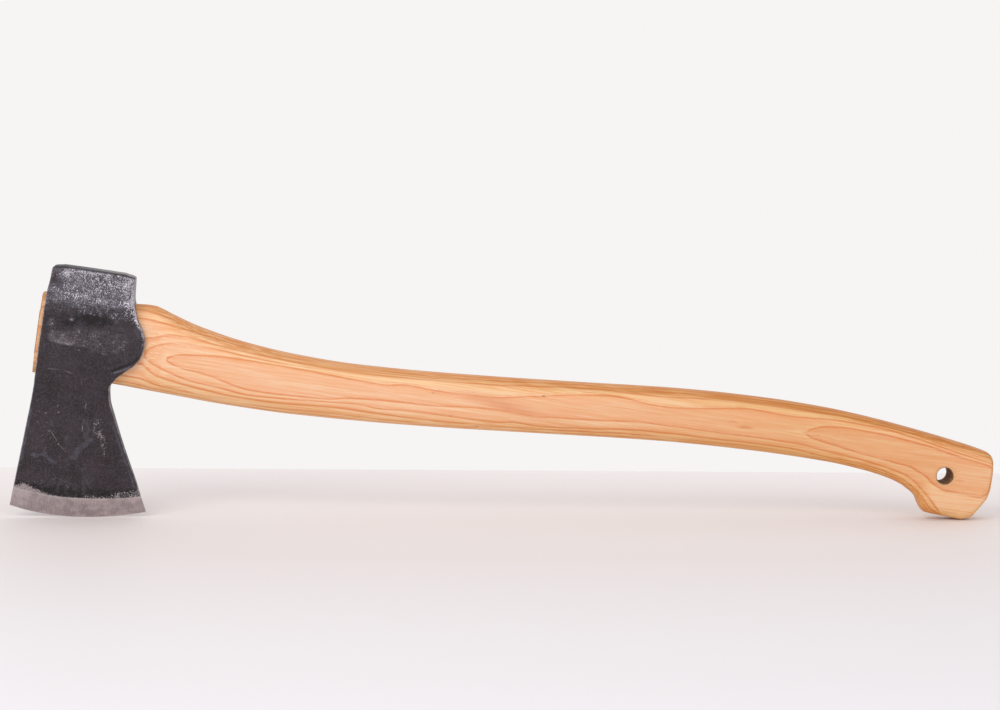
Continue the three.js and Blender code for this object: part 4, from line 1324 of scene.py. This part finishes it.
def hickory():
    s = Shader("oiled_hickory")
    at = s.vector("eye_mm")
    colour, share, fibre, dark = wood_colour(s, at, WOOD_LINE, WOOD_PINK, WOOD_TAN, WOOD_PALE,
                                             WOOD_STREAK, WOOD_CREAM)
    colour, pores = add_pores(s, at, colour, share)
    colour = add_flecks(s, at, colour)
    shade = s.mul(s.value("shadow"), s.ramp(fibre, 0.2, 0.6, 0.5, 0.75))
    colour = add_turning(s, at, s.mix(shade, colour, WOOD_SHADOW), dark)
    colour, bore, turns = add_cuts(s, at, colour, fibre)

    rough = s.mix(bore, s.ramp(fibre, 0.3, 0.7, 0.42, 0.54), DULL)
    height = s.add(s.mul(fibre, 0.5), s.mul(pores, -0.8))
    height = s.add(height, s.mul(turns, s.mul(bore, 2.0)))
    normal = s.bump(height, 0.25, 0.00018)
    return s.finish(colour, rough, normal, IOR=1.42)


# The wooden wedge's line, pink, tan, pale, streak and cream.
WEDGE_TINTS = [(0.20, 0.09, 0.035), (0.36, 0.19, 0.09), (0.42, 0.23, 0.11), (0.47, 0.28, 0.14),
               (0.30, 0.14, 0.06), (0.50, 0.31, 0.17)]


def wedge_wood():
    s = Shader("wedge_wood")
    at = s.vector("eye_mm")
    colour, share, fibre, _ = wood_colour(s, at, *WEDGE_TINTS)
    dots = s.noise(s.stretch(at, (0.5, 3.0, 3.0)), 1, 3, 0.7)
    colour = s.mix(s.mul(s.value("cut_end"), s.ramp(dots, 0.4, 0.62, 0.1, 0.7)), colour, (0.15, 0.07, 0.03))
    normal = s.bump(s.add(fibre, s.mul(share, 0.2)), 0.4, 0.00025)
    return s.finish(colour, s.ramp(fibre, 0.3, 0.7, 0.55, 0.7), normal, IOR=1.46)


def wedge_steel():
    s = Shader("wedge_steel")
    at = s.vector("eye_mm")
    grain = s.noise(at, 1.1, 4, 0.65)
    dents = s.noise(at, 0.35, 2, 0.5)
    colour = s.mix(s.ramp(grain, 0.35, 0.7), (0.26, 0.25, 0.25), (0.46, 0.45, 0.45))
    colour = s.mix(s.ramp(s.noise(at, 0.5, 3), 0.62, 0.72, 0.0, 0.6), colour, (0.20, 0.09, 0.045))
    normal = s.bump(s.add(s.mul(grain, 0.3), dents), 0.5, 0.0004)
    return s.finish(colour, s.ramp(grain, 0.3, 0.7, 0.35, 0.55), normal, Metallic=0.9)


# ---------------------------------------------------------------------------------------- stage

TABLE_LIP = 0.004                 # size of the rounding along the table's far edge
TABLE_DROP = 0.03                 # how far the far edge goes down
WORLD_SEEN = (0.925, 0.912, 0.905, 1)
WORLD_LIT = (0.97, 0.975, 1.0, 1)
LIGHT_TARGET = (0.0, 0.0, 0.08)
# Soft boxes: name, place, size, power, colour.
LIGHTS = [("key", (-1.1, -1.5, 1.3), (1.5, 1.2), 19, (1.0, 0.985, 0.965)),
          ("front_fill", (0.9, -1.9, 0.9), (2.2, 1.4), 9.5, (1.0, 0.975, 0.95))]
TABLE_LIGHT_SPAN = (-0.6, 0.25)         # y of the first and the last tint of the table, m; the tints are painted light, brighter towards the far edge.
TABLE_TINTS_AND_LIGHT = [(0.0, (0.74, 0.72, 0.735)), (0.35, (0.74, 0.70, 0.705)), (0.55, (0.74, 0.685, 0.67)),
               (0.8, (0.82, 0.76, 0.74)), (1.0, (0.88, 0.82, 0.805))]


def table_material():
    s = Shader("table_top")
    coordinates = s.node("TexCoord").outputs["Object"]
    cloud = s.mul(s.minus(s.noise(coordinates, 1.6, 3, 0.5), 0.5), 0.1)
    # painted light: the table's colour brightens towards its far edge
    along = s.ramp(s.add(s.split(coordinates)["Y"], cloud), *TABLE_LIGHT_SPAN, 0.0, 1.0, "LINEAR")
    colour = s.colours(along, TABLE_TINTS_AND_LIGHT)
    normal = s.bump(s.noise(coordinates, 60, 2), 0.05, 0.0002)
    return s.finish(colour, 0.6, normal, Specular_IOR_Level=0.15)


def build_table():
    floor_z = CAD_BOUNDS[0][2]
    turn = math.tan(math.radians(TABLE_TURN))
    x = TABLE_HALF_WIDTH
    rows = [(TABLE_FRONT, 0.0), (TABLE_BACK - TABLE_LIP, 0.0),
            (TABLE_BACK - TABLE_LIP * 0.4, -TABLE_LIP * 0.25), (TABLE_BACK, -TABLE_LIP),
            (TABLE_BACK, -TABLE_DROP)]
    points = []
    for y, z in rows:
        slant = turn * x if y > 0 else 0.0
        points.append((-x, y - slant, floor_z + z))
        points.append((x, y + slant, floor_z + z))
    faces = [(2 * i, 2 * i + 1, 2 * i + 3, 2 * i + 2) for i in range(len(rows) - 1)]
    table = make_object("table", points, faces)
    table.data.materials.append(table_material())


def area_light(name, at, size, power, colour):
    data = bpy.data.lights.new(name, "AREA")
    data.shape = "RECTANGLE"
    data.size = size[0]
    data.size_y = size[1]
    data.energy = power
    data.color = colour
    light = bpy.data.objects.new(name, data)
    light.location = at
    light.rotation_euler = (Vector(LIGHT_TARGET) - Vector(at)).to_track_quat("-Z", "Y").to_euler()
    bpy.context.scene.collection.objects.link(light)


def build_world():
    """A plain wall for the camera; for the light, a room brighter towards the back and overhead."""
    world = bpy.data.worlds.new("studio")
    bpy.context.scene.world = world
    world.use_nodes = True
    n = Nodes(world.node_tree)
    way = n.split(n.node("TexCoord").outputs["Generated"])
    back = n.math("MULTIPLY_ADD", way["Y"], WORLD_BACK, WORLD_LEVEL)
    level = n.math("MULTIPLY_ADD", way["Z"], WORLD_ABOVE, back)
    lit = n.node("Background", [("Color", WORLD_LIT), ("Strength", level)])
    seen = n.node("Background", [("Color", WORLD_SEEN)])
    to_camera = n.node("LightPath").outputs["Is Camera Ray"]
    mix = n.node("MixShader", [("Fac", to_camera), (1, lit.outputs[0]), (2, seen.outputs[0])])
    n.node("OutputWorld", [("Surface", mix.outputs[0])])


def build_camera():
    data = bpy.data.cameras.new("camera")
    data.sensor_width = 36.0
    data.lens = LENS
    data.clip_start = 0.05
    data.clip_end = 30
    camera = bpy.data.objects.new("camera", data)
    turn = Matrix.Rotation(-math.radians(CAMERA_YAW), 4, "Z")
    turn @= Matrix.Rotation(math.radians(90 - CAMERA_PITCH), 4, "X")
    turn @= Matrix.Rotation(math.radians(CAMERA_ROLL), 4, "Z")
    camera.matrix_world = Matrix.Translation(CAMERA_AT) @ turn
    bpy.context.scene.collection.objects.link(camera)
    bpy.context.scene.camera = camera


bpy.context.scene.view_settings.view_transform = "Standard"
build_camera()
build_head()
build_haft()
build_wooden_wedge()
build_steel_wedge()
build_table()
build_world()
for light in LIGHTS:
    area_light(*light)
